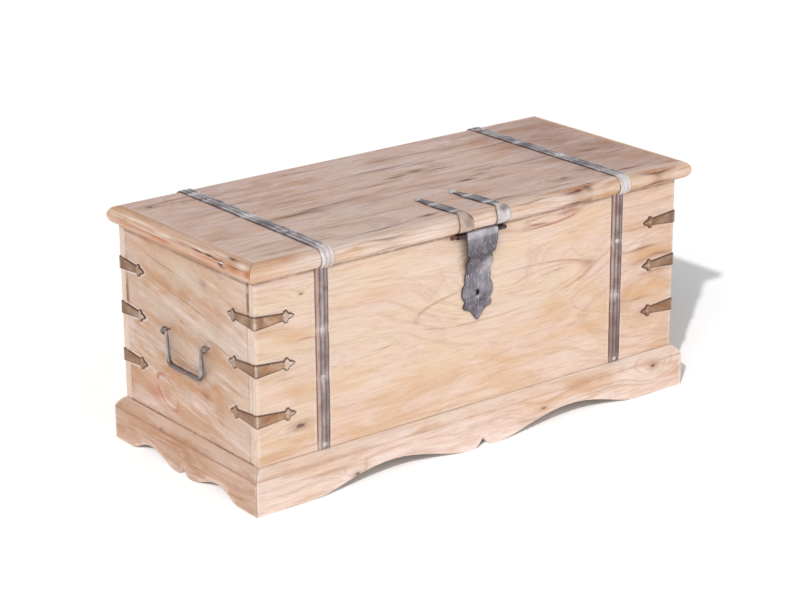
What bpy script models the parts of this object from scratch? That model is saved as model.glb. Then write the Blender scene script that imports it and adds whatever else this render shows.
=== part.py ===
# Wooden storage chest with iron straps, a hinged hasp, bail handles and a scalloped plinth.
# Metres, +Z up, front towards -Y, origin on the floor under the middle of the body.

import math

import bmesh
import bpy
import numpy as np
from mathutils import Matrix, Vector

# Body
BODY_LENGTH = 0.861
BODY_DEPTH = 0.380
BODY_TOP = 0.3721
PANEL_THICKNESS = 0.013
PANEL_FOOT = 0.032
PANEL_BEVEL = 0.0007
SEAM = 0.0003

# Floor of the chest
BOTTOM_THICKNESS = 0.010
CLEAT_WIDTH = 0.018
CLEAT_HEIGHT = 0.020

# Plinth
PLINTH_HEIGHT = 0.0729
PLINTH_THICKNESS = 0.0148
MOULDING_HEIGHT = 0.021
MOULDING_SHARES = ((1.0, 0.0), (0.97, 0.22), (0.86, 0.43), (0.60, 0.68), (0.28, 0.90), (0.0, 1.0))
FRONT_FOOT_LENGTH = 0.113
FRONT_ARCH_RISE = 0.028
FRONT_DROP_HALF = 0.034
FRONT_NOTCH_HEIGHT = 0.017
FRONT_NOTCH_HALF = 0.020
FRONT_ARCH_SKEW_SHARE = 1.05
END_FOOT_LENGTH = 0.054
END_ARCH_RISE = 0.019
END_DROP_HALF = 0.024
END_NOTCH_HEIGHT = 0.014
END_NOTCH_HALF = 0.015
END_ARCH_SKEW_SHARE = 1.2
ARCH_ROUND_SHARE = 1.35
NOTCH_ROUND_SHARE = 1.6
ARCH_STEPS = 16
NOTCH_STEPS = 4
BLOCK_LENGTH = 0.060
BLOCK_WIDTH = 0.034

# Lid
LID_THICKNESS = 0.0301
LID_FRONT_OVERHANG = 0.0199
LID_END_OVERHANG = 0.0195
LID_BACK_OVERHANG = 0.0037
LID_BOARD_THICKNESS = 0.018
NOSING_TOP_WIDTH = 0.020
NOSING_FOOT_WIDTH = 0.038
NOSE_STEPS = 14
BOARD_SHARES = (0.297, 0.234, 0.234, 0.235)
BATTEN_WIDTH = 0.050
BATTEN_INSET = 0.245

# Reeded iron bands over the lid and down the front
BAND_WIDTH = 0.025
BAND_THICKNESS = 0.0026
BAND_REED_DEPTH = 0.0010
BAND_REEDS = 3
BAND_INSET = 0.1275
BAND_DRIFT = -0.005
BAND_FRONT_WRAP_ANGLE = 160.0
BAND_BACK_WRAP_ANGLE = 125.0
FRONT_BAND_TOP_GAP = 0.0015

# Corner brackets, each folded round a corner of the body
BRACKET_ARM = 0.072
BRACKET_HALF_WIDTH = 0.0105
BRACKET_THICKNESS = 0.0016
BRACKET_BEND_RADIUS = 0.0011
BRACKET_HEIGHTS = (0.148, 0.2295, 0.3055)
BRACKET_HEIGHT_NAMES = ("lower", "middle", "upper")
# Along the arm from the corner, then across it
BRACKET_EDGE_SHARES = (
    (0.72, 0.54, "corner"),
    (0.755, 0.90, "round"),
    (0.805, 0.97, "round"),
    (0.845, 0.70, "round"),
    (0.865, 0.44, "corner"),
    (0.925, 0.34, "round"),
    (0.975, 0.20, "round"),
)

# Hasp
HASP_DRIFT = -0.003
HASP_THICKNESS = 0.0025
HASP_DROP = 0.150
HASP_HALF_WIDTH = 0.032
HASP_CRANK_START = 0.012
HASP_CRANK_END = 0.085
HASP_CRANK_STEP = 0.005
HASP_SLOT_WIDTH = 0.0068
HASP_SLOT_LENGTH = 0.0105
HASP_SLOT_DROP = 0.1035
# Down the plate from its pin, then across it
HASP_EDGE_SHARES = (
    (0.190, 0.93, "round"),
    (0.235, 0.89, "round"),
    (0.262, 0.70, "corner"),
    (0.300, 0.79, "round"),
    (0.350, 0.85, "round"),
    (0.400, 0.80, "round"),
    (0.437, 0.74, "round"),
    (0.480, 0.80, "round"),
    (0.530, 0.84, "round"),
    (0.568, 0.79, "corner"),
    (0.615, 0.95, "round"),
    (0.670, 1.00, "round"),
    (0.725, 0.97, "round"),
    (0.780, 0.79, "corner"),
    (0.812, 0.89, "round"),
    (0.838, 0.92, "round"),
    (0.862, 0.82, "round"),
    (0.880, 0.58, "round"),
    (0.915, 0.37, "round"),
    (0.960, 0.20, "round"),
    (0.988, 0.11, "round"),
)
KNUCKLE_RADIUS = 0.0054
KNUCKLE_GAP = 0.0004
KNUCKLE_ANGLE = 255.0
PIN_RADIUS = 0.0023
PIN_CLEARANCE = 0.0003
PIN_TAIL_LENGTH = 0.012
PIN_TAIL_HEIGHT = 0.0075
PIN_TAIL_THICKNESS = 0.0030
PIN_END_STANDOUT = 0.0012
STRAP_THICKNESS = 0.0022
STRAP_HALF_WIDTH = 0.0135
STRAP_SPACING = 0.076
STRAP_REACH = 0.104
STRAP_WRAP_ANGLE = 135.0
STRAP_TONGUE_TRIM = 0.0025
# Along the strap from its tip to the nosing, then across it
STRAP_EDGE_SHARES = (
    (0.000, 0.10, "round"),
    (0.035, 0.22, "round"),
    (0.060, 0.47, "round"),
    (0.095, 0.50, "round"),
    (0.120, 0.36, "corner"),
    (0.170, 0.40, "round"),
    (0.270, 0.58, "round"),
    (0.450, 0.76, "round"),
    (0.650, 0.78, "round"),
    (0.850, 0.66, "round"),
    (0.955, 0.82, "round"),
)

# Bail handles
HANDLE_DRIFT = -0.008
HANDLE_HEIGHT = 0.231
HANDLE_STANDOFF = 0.0105
BAIL_HALF_WIDTH = 0.0485
BAIL_DROP = 0.0525
BAIL_CORNER_RADIUS = 0.014
BAIL_RADIUS = 0.0043
BAIL_STUB_RADIUS = 0.0022
BAIL_LEG_SHARES = (0.4, 0.75)
BAIL_STUB_BEND = 0.0045
BAIL_STUB_LENGTH = 0.0090
BAIL_CORNER_STEPS = 7
EYE_SPREAD = 0.0565
EYE_RADIUS = 0.0052
EYE_WIRE_RADIUS = 0.0018
SHANK_CLEARANCE = 0.0003
CLENCH_LENGTH = 0.016
CLENCH_HEIGHT = 0.0050
CLENCH_THICKNESS = 0.0016

# Butt hinges at the back
HINGE_INSET = 0.180
HINGE_LENGTH = 0.064
HINGE_LEAF_THICKNESS = 0.0020
HINGE_LEAF_MARGIN = 0.0015
HINGE_LEAF_GAP = 0.0005
HINGE_KNUCKLE_RADIUS = 0.0040
HINGE_PIN_RADIUS = 0.0018
HINGE_BARREL_SHARES = (0.30, 0.40, 0.30)

OVERRUN = 0.002
MERGE = 0.000001
FACET_ANGLE = 35.0
HALF_SHARE = 0.5
STRIP_CREASE_ANGLE = 12.0
ROUND_SIDES = 20

# Places worked out from the sizes above
HALF_LENGTH = BODY_LENGTH / 2
HALF_DEPTH = BODY_DEPTH / 2
BAND_OFFSET = HALF_LENGTH - BAND_INSET
BATTEN_OFFSET = HALF_LENGTH - BATTEN_INSET
HINGE_OFFSET = HALF_LENGTH - HINGE_INSET
STRAP_OFFSET = STRAP_SPACING / 2
FRONT_FACE = -HALF_DEPTH
BACK_FACE = HALF_DEPTH
LID_BOTTOM = BODY_TOP + SEAM
LID_TOP = LID_BOTTOM + LID_THICKNESS
NOSE_RADIUS = LID_THICKNESS / 2
NOSE_HEIGHT = LID_BOTTOM + NOSE_RADIUS
LID_HALF_LENGTH = HALF_LENGTH + LID_END_OVERHANG
LID_FRONT = FRONT_FACE - LID_FRONT_OVERHANG
LID_BACK = BACK_FACE + LID_BACK_OVERHANG
FRONT_NOSE_CENTRE = Vector((LID_FRONT + NOSE_RADIUS, NOSE_HEIGHT))
BACK_NOSE_CENTRE = Vector((LID_BACK - NOSE_RADIUS, NOSE_HEIGHT))
PIN_REACH = NOSE_RADIUS + SEAM + KNUCKLE_RADIUS
PIN_Y = FRONT_NOSE_CENTRE.x + PIN_REACH * math.cos(math.radians(KNUCKLE_ANGLE))
PIN_Z = FRONT_NOSE_CENTRE.y + PIN_REACH * math.sin(math.radians(KNUCKLE_ANGLE))
HINGE_Y = BACK_FACE + HINGE_KNUCKLE_RADIUS + HINGE_LEAF_GAP
HINGE_Z = BODY_TOP + SEAM / 2
BAIL_Z = HANDLE_HEIGHT - (EYE_RADIUS - EYE_WIRE_RADIUS - BAIL_STUB_RADIUS - SEAM)

PALE_WOOD = ("pale_wood", (0.83, 0.66, 0.50), 0.62, 0.0)
LID_WOOD = ("lid_wood", (0.58, 0.40, 0.29), 0.58, 0.0)
END_WOOD = ("end_wood", (0.66, 0.47, 0.34), 0.62, 0.0)
PLINTH_WOOD = ("plinth_wood", (0.75, 0.55, 0.41), 0.62, 0.0)
INNER_WOOD = ("inner_wood", (0.60, 0.44, 0.31), 0.70, 0.0)
BAND_IRON = ("band_iron", (0.22, 0.18, 0.18), 0.45, 0.8)
HASP_IRON = ("hasp_iron", (0.28, 0.27, 0.30), 0.42, 0.85)
HANDLE_STEEL = ("handle_steel", (0.40, 0.37, 0.37), 0.35, 0.9)
BRACKET_BRASS = ("bracket_brass", (0.38, 0.24, 0.14), 0.48, 0.8)


def clear_scene():
    for item in list(bpy.data.objects):
        bpy.data.objects.remove(item, do_unlink=True)


def make_collection(name):
    collection = bpy.data.collections.new(name)
    bpy.context.scene.collection.children.link(collection)
    return collection


def make_material(look):
    name, colour, roughness, metallic = look
    material = bpy.data.materials.get(name)
    if material:
        return material
    material = bpy.data.materials.new(name)
    material.use_nodes = True
    shader = material.node_tree.nodes["Principled BSDF"]
    shader.inputs["Base Color"].default_value = (*colour, 1.0)
    shader.inputs["Roughness"].default_value = roughness
    shader.inputs["Metallic"].default_value = metallic
    return material


def make_object(name, mesh, look, place=(0, 0, 0), parent=None):
    item = bpy.data.objects.new(name, mesh)
    parts.objects.link(item)
    item.location = Vector(place)
    if parent:
        item.parent = parent
        item.location = Vector(place) - parent_place(parent)
    mesh.materials.clear()
    mesh.materials.append(make_material(look))
    return item


def parent_place(empty):
    place = Vector(empty.location)
    if empty.parent:
        place += parent_place(empty.parent)
    return place


def make_cutter(name, mesh, place=(0, 0, 0), parent=None):
    item = bpy.data.objects.new(name, mesh)
    cutters.objects.link(item)
    item.location = Vector(place)
    if parent:
        item.parent = parent
        item.location = Vector(place) - parent_place(parent)
    item.hide_render = True
    item.display_type = "WIRE"
    return item


def make_axis(name, place, parent=None):
    empty = bpy.data.objects.new(name, None)
    parts.objects.link(empty)
    empty.empty_display_size = KNUCKLE_RADIUS
    empty.location = Vector(place)
    if parent:
        empty.parent = parent
        empty.location = Vector(place) - parent_place(parent)
    return empty


def boolean(item, other, operation):
    modifier = item.modifiers.new(other.name, "BOOLEAN")
    modifier.operation = operation
    modifier.solver = "EXACT"
    modifier.object = other


def face_outwards(work):
    work.normal_update()
    bmesh.ops.recalc_face_normals(work, faces=work.faces)


def tidy(work):
    bmesh.ops.remove_doubles(work, verts=work.verts, dist=MERGE)
    work.normal_update()
    bmesh.ops.dissolve_limit(
        work,
        angle_limit=math.radians(0.1),
        verts=work.verts,
        edges=work.edges,
        use_dissolve_boundaries=False,
    )
    face_outwards(work)


def mesh_of(work, name):
    mesh = bpy.data.meshes.new(name)
    work.to_mesh(mesh)
    work.free()
    return mesh


def shade_round(mesh):
    mesh.shade_smooth()
    mesh.set_sharp_from_angle(angle=math.radians(FACET_ANGLE))


def box_mesh(name, low, high):
    low, high = Vector(low), Vector(high)
    work = bmesh.new()
    bmesh.ops.create_cube(work, size=1.0)
    bmesh.ops.scale(work, vec=high - low, verts=work.verts)
    bmesh.ops.translate(work, vec=(low + high) / 2, verts=work.verts)
    return mesh_of(work, name)


def plank(name, low, high, look, parent=None):
    middle = (Vector(low) + Vector(high)) / 2
    mesh = box_mesh(name, Vector(low) - middle, Vector(high) - middle)
    item = make_object(name, mesh, look, middle, parent)
    bevel = item.modifiers.new("eased_edges", "BEVEL")
    bevel.width = PANEL_BEVEL
    bevel.segments = 1
    return item


def rod_mesh(name, radius, length, axis, sides=ROUND_SIDES):
    work = bmesh.new()
    bmesh.ops.create_cone(
        work, cap_ends=True, segments=sides, radius1=radius, radius2=radius, depth=length
    )
    if axis == "X":
        bmesh.ops.rotate(work, matrix=Matrix.Rotation(math.pi / 2, 3, "Y"), verts=work.verts)
    mesh = mesh_of(work, name)
    shade_round(mesh)
    return mesh


def curve_mesh(curve, name):
    guide = bpy.data.objects.new(name, curve)
    cutters.objects.link(guide)
    bpy.context.view_layer.update()
    seen = guide.evaluated_get(bpy.context.evaluated_depsgraph_get())
    mesh = bpy.data.meshes.new_from_object(seen)
    bpy.data.objects.remove(guide, do_unlink=True)
    bpy.data.curves.remove(curve)
    work = bmesh.new()
    work.from_mesh(mesh)
    bpy.data.meshes.remove(mesh)
    return work


def flat_shape(name, points, thickness, steps=3):
    # A closed outline in XY, made solid by thickness along Z, half to each side.
    curve = bpy.data.curves.new(name, "CURVE")
    curve.dimensions = "2D"
    curve.fill_mode = "BOTH"
    curve.extrude = thickness / 2
    curve.resolution_u = steps
    rounded = any(len(point) == 3 and point[2] == "round" for point in points)
    spline = curve.splines.new("BEZIER" if rounded else "POLY")
    spline.use_cyclic_u = True
    if rounded:
        spline.bezier_points.add(len(points) - 1)
        for knot, point in zip(spline.bezier_points, points):
            knot.co = (point[0], point[1], 0)
            kind = "AUTO" if point[2] == "round" else "VECTOR"
            knot.handle_left_type = kind
            knot.handle_right_type = kind
    else:
        spline.points.add(len(points) - 1)
        for knot, point in zip(spline.points, points):
            knot.co = (point[0], point[1], 0, 1)
    work = curve_mesh(curve, name)
    tidy(work)
    return work


def slice_off(work, point, normal):
    # Cuts away what lies beyond a plane and closes the cut.
    everything = list(work.verts) + list(work.edges) + list(work.faces)
    cut = bmesh.ops.bisect_plane(
        work, geom=everything, plane_co=point, plane_no=normal, clear_outer=True, dist=MERGE
    )
    rim = [edge for edge in cut["geom_cut"] if isinstance(edge, bmesh.types.BMEdge)]
    bmesh.ops.holes_fill(work, edges=rim)


def crease(work, places, axis):
    for place in places:
        everything = list(work.verts) + list(work.edges) + list(work.faces)
        point = Vector((0, 0, 0))
        point[axis] = place
        normal = Vector((0, 0, 0))
        normal[axis] = 1
        bmesh.ops.bisect_plane(work, geom=everything, plane_co=point, plane_no=normal, dist=MERGE)


class Path:
    # A line in a plane made of straight runs and arcs, read by its length.
    def __init__(self, start, heading):
        self.runs = []
        self.end = Vector(start)
        self.heading = heading
        self.length = 0.0

    def straight(self, length):
        self.runs.append((self.length, self.end.copy(), self.heading, 0.0, length))
        self.end += length * Vector((math.cos(self.heading), math.sin(self.heading)))
        self.length += length
        return self

    def arc(self, radius, turn):
        length = radius * abs(turn)
        self.runs.append((self.length, self.end.copy(), self.heading, turn / length, length))
        self.end = self.at(self.length + length)[0]
        self.heading += turn
        self.length += length
        return self

    def at(self, along):
        start, point, heading, bend, length = next(
            (run for run in reversed(self.runs) if along >= run[0]), self.runs[0]
        )
        step = along - start
        if bend == 0.0:
            return point + step * Vector((math.cos(heading), math.sin(heading))), heading
        turned = heading + bend * step
        offset = Vector((math.sin(turned) - math.sin(heading), math.cos(heading) - math.cos(turned)))
        return point + offset / bend, turned

    def creases(self):
        places = []
        for start, point, heading, bend, length in self.runs:
            if bend:
                steps = max(1, round(abs(bend) * length / math.radians(STRIP_CREASE_ANGLE)))
                places += [start + length * step / steps for step in range(steps + 1)]
        return places


def bend_along(work, path, place):
    # Along X of the flat piece runs the path, Y stays across it, Z stands off to its left.
    crease(work, path.creases(), 0)
    bmesh.ops.triangulate(work, faces=work.faces)
    for vertex in work.verts:
        point, heading = path.at(vertex.co.x)
        left = Vector((-math.sin(heading), math.cos(heading)))
        vertex.co = place(point + left * vertex.co.z, vertex.co.y)
    bmesh.ops.remove_doubles(work, verts=work.verts, dist=MERGE)
    face_outwards(work)


def body_panels():
    inner_half = HALF_DEPTH - PANEL_THICKNESS
    for name, side, look in (("front_panel", -1, PALE_WOOD), ("back_panel", 1, PALE_WOOD)):
        outer, inner = side * HALF_DEPTH, side * inner_half
        low = (-HALF_LENGTH, min(outer, inner), PANEL_FOOT)
        plank(name, low, (HALF_LENGTH, max(outer, inner), BODY_TOP), look)
    for name, side in (("left_end_panel", -1), ("right_end_panel", 1)):
        outer, inner = side * HALF_LENGTH, side * (HALF_LENGTH - PANEL_THICKNESS)
        low = (min(outer, inner), -inner_half + SEAM, PANEL_FOOT)
        panel = plank(name, low, (max(outer, inner), inner_half - SEAM, BODY_TOP), END_WOOD)
        for place, y in eye_places():
            shank = rod_mesh("shank_hole", EYE_WIRE_RADIUS + SHANK_CLEARANCE, reach_through(), "X")
            hole = make_cutter(f"{name}_{place}_hole", shank, ((outer + inner) / 2, y, HANDLE_HEIGHT))
            boolean(panel, hole, "DIFFERENCE")


def reach_through():
    return PANEL_THICKNESS + 2 * OVERRUN


def chest_floor():
    inner_x = HALF_LENGTH - PANEL_THICKNESS - SEAM
    inner_y = HALF_DEPTH - PANEL_THICKNESS - SEAM
    cleat_top = PANEL_FOOT + CLEAT_HEIGHT
    for name, side in (("bottom_cleat_front", -1), ("bottom_cleat_back", 1)):
        near, far = side * inner_y, side * (inner_y - CLEAT_WIDTH)
        low = (-inner_x, min(near, far), PANEL_FOOT)
        plank(name, low, (inner_x, max(near, far), cleat_top), INNER_WOOD)
    board_low = cleat_top + SEAM
    plank(
        "bottom_board",
        (-inner_x, -inner_y, board_low),
        (inner_x, inner_y, board_low + BOTTOM_THICKNESS),
        INNER_WOOD,
    )


def foot_blocks():
    for end, x_side in (("left", -1), ("right", 1)):
        for face, y_side in (("front", -1), ("back", 1)):
            corner = Vector((x_side * HALF_LENGTH, y_side * HALF_DEPTH, 0))
            inner = corner - Vector((x_side * BLOCK_LENGTH, y_side * BLOCK_WIDTH, 0))
            low = (min(corner.x, inner.x), min(corner.y, inner.y), 0)
            high = (max(corner.x, inner.x), max(corner.y, inner.y), PANEL_FOOT - SEAM)
            plank(f"foot_block_{face}_{end}", low, high, INNER_WOOD)


def arch_height(distance, foot, rise, drop, skew, half):
    # Height of the cut above the floor at a distance from the middle of the board.
    share = (distance - drop) / (half - foot - drop)
    if share <= 0 or share >= 1:
        return 0.0
    return rise * math.sin(math.pi * share**skew) ** ARCH_ROUND_SHARE


def notch_height(distance, height, half):
    return height * max(0.0, 1 - distance / half) ** NOTCH_ROUND_SHARE


def scallop_points(half, foot, rise, drop, skew, notch_rise, notch_half):
    # Right half of the cut's upper edge from the middle outwards, mirrored to the left.
    right = []
    for step in range(NOTCH_STEPS + 1):
        distance = notch_half * step / NOTCH_STEPS
        right.append((distance, notch_height(distance, notch_rise, notch_half)))
    for step in range(ARCH_STEPS + 1):
        distance = drop + (half - foot - drop) * step / ARCH_STEPS
        right.append((distance, arch_height(distance, foot, rise, drop, skew, half)))
    left = [(-x, z) for x, z in reversed(right[1:])]
    edge = left + right
    return [(edge[0][0], -OVERRUN)] + edge + [(edge[-1][0], -OVERRUN)]


def plinth_section():
    wall = PLINTH_HEIGHT - MOULDING_HEIGHT
    section = [(0.0, 0.0), (PLINTH_THICKNESS, 0.0)]
    for out, up in MOULDING_SHARES:
        section.append((PLINTH_THICKNESS * out, wall + MOULDING_HEIGHT * up))
    return section


def edge_board(name, section, half, outward, along, face, look, parent=None):
    # A moulded board along one side: its section stands outwards from the face line,
    # and its ends are mitred through the corners of that line.
    work = flat_shape(name, section, 2 * (half + section_reach(section) + OVERRUN))
    outward, along = Vector(outward), Vector(along)
    up = Vector((0, 0, 1))
    for vertex in work.verts:
        vertex.co = face + outward * vertex.co.x + up * vertex.co.y + along * vertex.co.z
    for end in (-1, 1):
        normal = (along * end - outward).normalized()
        corner = face + along * (end * half)
        slice_off(work, corner - normal * SEAM / 2, normal)
    tidy(work)
    middle = face + up * PLINTH_HEIGHT * HALF_SHARE
    bmesh.ops.translate(work, vec=-middle, verts=work.verts)
    mesh = mesh_of(work, name)
    shade_round(mesh)
    return make_object(name, mesh, look, middle, parent)


def section_reach(section):
    return max(point[0] for point in section)


def sides_of(half_x, front, back):
    # For each side: the way outwards, the way along, the middle of its line and half its length.
    middle_y = (front + back) / 2
    half_y = (back - front) / 2
    return {
        "front": ((0, -1, 0), (1, 0, 0), Vector((0, front, 0)), half_x),
        "back": ((0, 1, 0), (1, 0, 0), Vector((0, back, 0)), half_x),
        "left": ((-1, 0, 0), (0, 1, 0), Vector((-half_x, middle_y, 0)), half_y),
        "right": ((1, 0, 0), (0, 1, 0), Vector((half_x, middle_y, 0)), half_y),
    }


def plinth():
    half_x, half_y = HALF_LENGTH + SEAM, HALF_DEPTH + SEAM
    for side, (outward, along, face, half) in sides_of(half_x, -half_y, half_y).items():
        name = f"plinth_{side}"
        board = edge_board(name, plinth_section(), half, outward, along, face, PLINTH_WOOD)
        outer_half = half + PLINTH_THICKNESS
        if side in ("front", "back"):
            cut = scallop_points(
                outer_half, FRONT_FOOT_LENGTH, FRONT_ARCH_RISE, FRONT_DROP_HALF,
                FRONT_ARCH_SKEW_SHARE, FRONT_NOTCH_HEIGHT, FRONT_NOTCH_HALF,
            )
        else:
            cut = scallop_points(
                outer_half, END_FOOT_LENGTH, END_ARCH_RISE, END_DROP_HALF,
                END_ARCH_SKEW_SHARE, END_NOTCH_HEIGHT, END_NOTCH_HALF,
            )
        work = flat_shape(f"{name}_cut", cut, 2 * (PLINTH_THICKNESS + OVERRUN))
        outward, along = Vector(outward), Vector(along)
        for vertex in work.verts:
            vertex.co = face + outward * vertex.co.z + along * vertex.co.x + Vector((0, 0, vertex.co.y))
        face_outwards(work)
        cutter = make_cutter(f"{name}_scallop", mesh_of(work, f"{name}_scallop"))
        boolean(board, cutter, "DIFFERENCE")


def nosing_section():
    # Half-round outside, a rebate for the lid boards inside. Outwards is +X from the inner foot.
    centre = NOSING_FOOT_WIDTH - NOSE_RADIUS
    shelf = LID_TOP - LID_BOARD_THICKNESS - SEAM
    step_x = NOSING_FOOT_WIDTH - NOSING_TOP_WIDTH
    section = [(0.0, LID_BOTTOM), (centre, LID_BOTTOM)]
    for step in range(1, NOSE_STEPS):
        angle = math.radians(-90 + 180 * step / NOSE_STEPS)
        x = centre + NOSE_RADIUS * math.cos(angle)
        section.append((x, NOSE_HEIGHT + NOSE_RADIUS * math.sin(angle)))
    section += [(centre, LID_TOP), (step_x, LID_TOP), (step_x, shelf), (0.0, shelf)]
    return section


def lid_nosings(lid):
    inset = NOSING_FOOT_WIDTH
    sides = sides_of(LID_HALF_LENGTH - inset, LID_FRONT + inset, LID_BACK - inset)
    for side, (outward, along, face, half) in sides.items():
        name = f"lid_nosing_{side}"
        item = edge_board(name, nosing_section(), half, outward, along, face, LID_WOOD, lid)
        if side == "back":
            for end in (-1, 1):
                low, high = leaf_pocket(end, LID_BOTTOM - OVERRUN, lid_leaf_top() + SEAM)
                pocket = make_cutter(f"{name}_pocket_{end + 1}", box_mesh("pocket", low, high))
                boolean(item, pocket, "DIFFERENCE")


def lid_boards(lid):
    inset = NOSING_TOP_WIDTH + SEAM
    half_x = LID_HALF_LENGTH - inset
    front, back = LID_FRONT + inset, LID_BACK - inset
    top, bottom = LID_TOP, LID_TOP - LID_BOARD_THICKNESS
    start = front
    for number, share in enumerate(BOARD_SHARES, 1):
        end = start + (back - front) * share
        last = number == len(BOARD_SHARES)
        low = (-half_x, start, bottom)
        high = (half_x, end if last else end - SEAM, top)
        plank(f"lid_board_{number}", low, high, LID_WOOD, lid)
        start = end


def lid_battens(lid):
    inset = NOSING_FOOT_WIDTH + SEAM
    top = LID_TOP - LID_BOARD_THICKNESS - SEAM
    for name, side in (("lid_batten_left", -1), ("lid_batten_right", 1)):
        x = side * BATTEN_OFFSET
        low = (x - BATTEN_WIDTH / 2, LID_FRONT + inset, LID_BOTTOM)
        high = (x + BATTEN_WIDTH / 2, LID_BACK - inset, top)
        plank(name, low, high, INNER_WOOD, lid)


def reeded_strip(name, length):
    # A flat strip along X with rounded reeds on its +Z side.
    steps = 4
    points = [(-BAND_WIDTH / 2, 0.0)]
    for step in range(steps * BAND_REEDS + 1):
        share = step / (steps * BAND_REEDS)
        swell = abs(math.sin(math.pi * share * BAND_REEDS))
        height = BAND_THICKNESS - BAND_REED_DEPTH * (1 - swell)
        points.append((-BAND_WIDTH / 2 + BAND_WIDTH * share, height))
    points.append((BAND_WIDTH / 2, 0.0))
    work = flat_shape(name, points, length)
    for vertex in work.verts:
        across, height, along = vertex.co
        vertex.co = Vector((along + length / 2, across, height))
    face_outwards(work)
    return work


def lid_bands(lid):
    # Over the lid from front to back, turned down round both nosings.
    radius = NOSE_RADIUS + SEAM
    front_turn = math.radians(BAND_FRONT_WRAP_ANGLE)
    back_turn = math.radians(BAND_BACK_WRAP_ANGLE)
    flat = BACK_NOSE_CENTRE.x - FRONT_NOSE_CENTRE.x
    for name, side in (("lid_band_left", -1), ("lid_band_right", 1)):
        x = side * BAND_OFFSET + BAND_DRIFT
        foot = Vector((-math.sin(front_turn), math.cos(front_turn)))
        start = FRONT_NOSE_CENTRE + radius * foot
        path = Path(start, front_turn)
        path.arc(radius, -front_turn).straight(flat).arc(radius, -back_turn)
        work = reeded_strip(name, path.length)
        bend_along(work, path, lambda point, across: Vector((across, point.x, point.y)))
        finish_strip(name, work, Vector((x, 0, 0)), lid)


def finish_strip(name, work, place, parent=None, look=BAND_IRON):
    mesh = mesh_of(work, name)
    shade_round(mesh)
    return make_object(name, mesh, look, place, parent)


def front_bands():
    low = PLINTH_HEIGHT + SEAM
    length = BODY_TOP - FRONT_BAND_TOP_GAP - low
    for name, side in (("front_band_left", -1), ("front_band_right", 1)):
        work = reeded_strip(name, length)
        for vertex in work.verts:
            along, across, height = vertex.co
            vertex.co = Vector((across, -height, along))
        face_outwards(work)
        x = side * BAND_OFFSET + BAND_DRIFT
        finish_strip(name, work, Vector((x, FRONT_FACE - SEAM, low)))


def bracket_outline():
    # One edge of an arm from corner to tip, repeated for the other edges.
    arm = [(0.0, BRACKET_HALF_WIDTH, "corner")]
    for along, across, kind in BRACKET_EDGE_SHARES:
        arm.append((BRACKET_ARM * along, BRACKET_HALF_WIDTH * across, kind))
    tip = [(BRACKET_ARM, 0.0, "round")]
    upper_right = arm[1:]
    upper_left = [(-x, y, kind) for x, y, kind in reversed(upper_right)]
    lower_left = [(x, -y, kind) for x, y, kind in reversed(upper_left)]
    lower_right = [(x, -y, kind) for x, y, kind in reversed(upper_right)]
    left_tip = [(-BRACKET_ARM, 0.0, "round")]
    foot = [(0.0, -BRACKET_HALF_WIDTH, "corner")]
    return [arm[0]] + upper_right + tip + lower_right + foot + lower_left + left_tip + upper_left


def corner_brackets():
    bend = BRACKET_BEND_RADIUS
    quarter = bend * math.pi / 2
    run = BRACKET_ARM - quarter / 2
    rise = SEAM + BRACKET_THICKNESS / 2
    for end, x_side in (("left", -1), ("right", 1)):
        for face, y_side in (("front", -1), ("back", 1)):
            corner = Vector((x_side * (HALF_LENGTH + rise), y_side * (HALF_DEPTH + rise)))
            for height, level in zip(BRACKET_HEIGHTS, BRACKET_HEIGHT_NAMES):
                name = f"corner_bracket_{face}_{end}_{level}"
                work = flat_shape(name, bracket_outline(), BRACKET_THICKNESS, 3)
                bmesh.ops.translate(work, vec=(BRACKET_ARM, 0, 0), verts=work.verts)
                path = Path((-(run + bend), 0), 0.0)
                path.straight(run).arc(bend, math.pi / 2).straight(run)
                bend_along(
                    work,
                    path,
                    lambda point, across: Vector((x_side * point.x, -y_side * point.y, across)),
                )
                place = Vector((corner.x, corner.y, height))
                finish_strip(name, work, place, look=BRACKET_BRASS)


def hasp_outline():
    # Down the plate runs +X, from the pin; the right edge is mirrored to the left.
    right = [(0.0, HASP_HALF_WIDTH, "corner"), (KNUCKLE_RADIUS, HASP_HALF_WIDTH, "corner")]
    for down, across, kind in HASP_EDGE_SHARES:
        right.append((HASP_DROP * down, HASP_HALF_WIDTH * across, kind))
    left = [(x, -y, kind) for x, y, kind in reversed(right)]
    return right + [(HASP_DROP, 0.0, "round")] + left


def hasp_plate(pivot):
    work = flat_shape("hasp_plate", hasp_outline(), HASP_THICKNESS, 3)
    span = HASP_CRANK_END - HASP_CRANK_START
    steps = round(span / HASP_CRANK_STEP)
    crease(work, [HASP_CRANK_START + span * step / steps for step in range(steps + 1)], 0)
    bmesh.ops.triangulate(work, faces=work.faces)
    top_y = -(KNUCKLE_RADIUS - HASP_THICKNESS / 2)
    rest_y = FRONT_FACE - SEAM - HASP_THICKNESS / 2 - PIN_Y
    for vertex in work.verts:
        down, across, out = vertex.co
        share = min(1.0, max(0.0, (down - HASP_CRANK_START) / span))
        swing = share * share * (3 - 2 * share)
        vertex.co = Vector((across, top_y + (rest_y - top_y) * swing - out, -down))
    face_outwards(work)
    mesh = mesh_of(work, "hasp_plate")
    shade_round(mesh)
    place = Vector((HASP_DRIFT, PIN_Y, PIN_Z))
    plate = make_object("hasp_plate", mesh, HASP_IRON, place, pivot)
    add_knuckle(plate, "hasp_knuckle", place, 2 * HASP_HALF_WIDTH, pivot)
    slot = slot_mesh()
    boolean(plate, make_cutter("hasp_slot", slot, place - Vector((0, 0, HASP_SLOT_DROP)), pivot), "DIFFERENCE")


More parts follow.
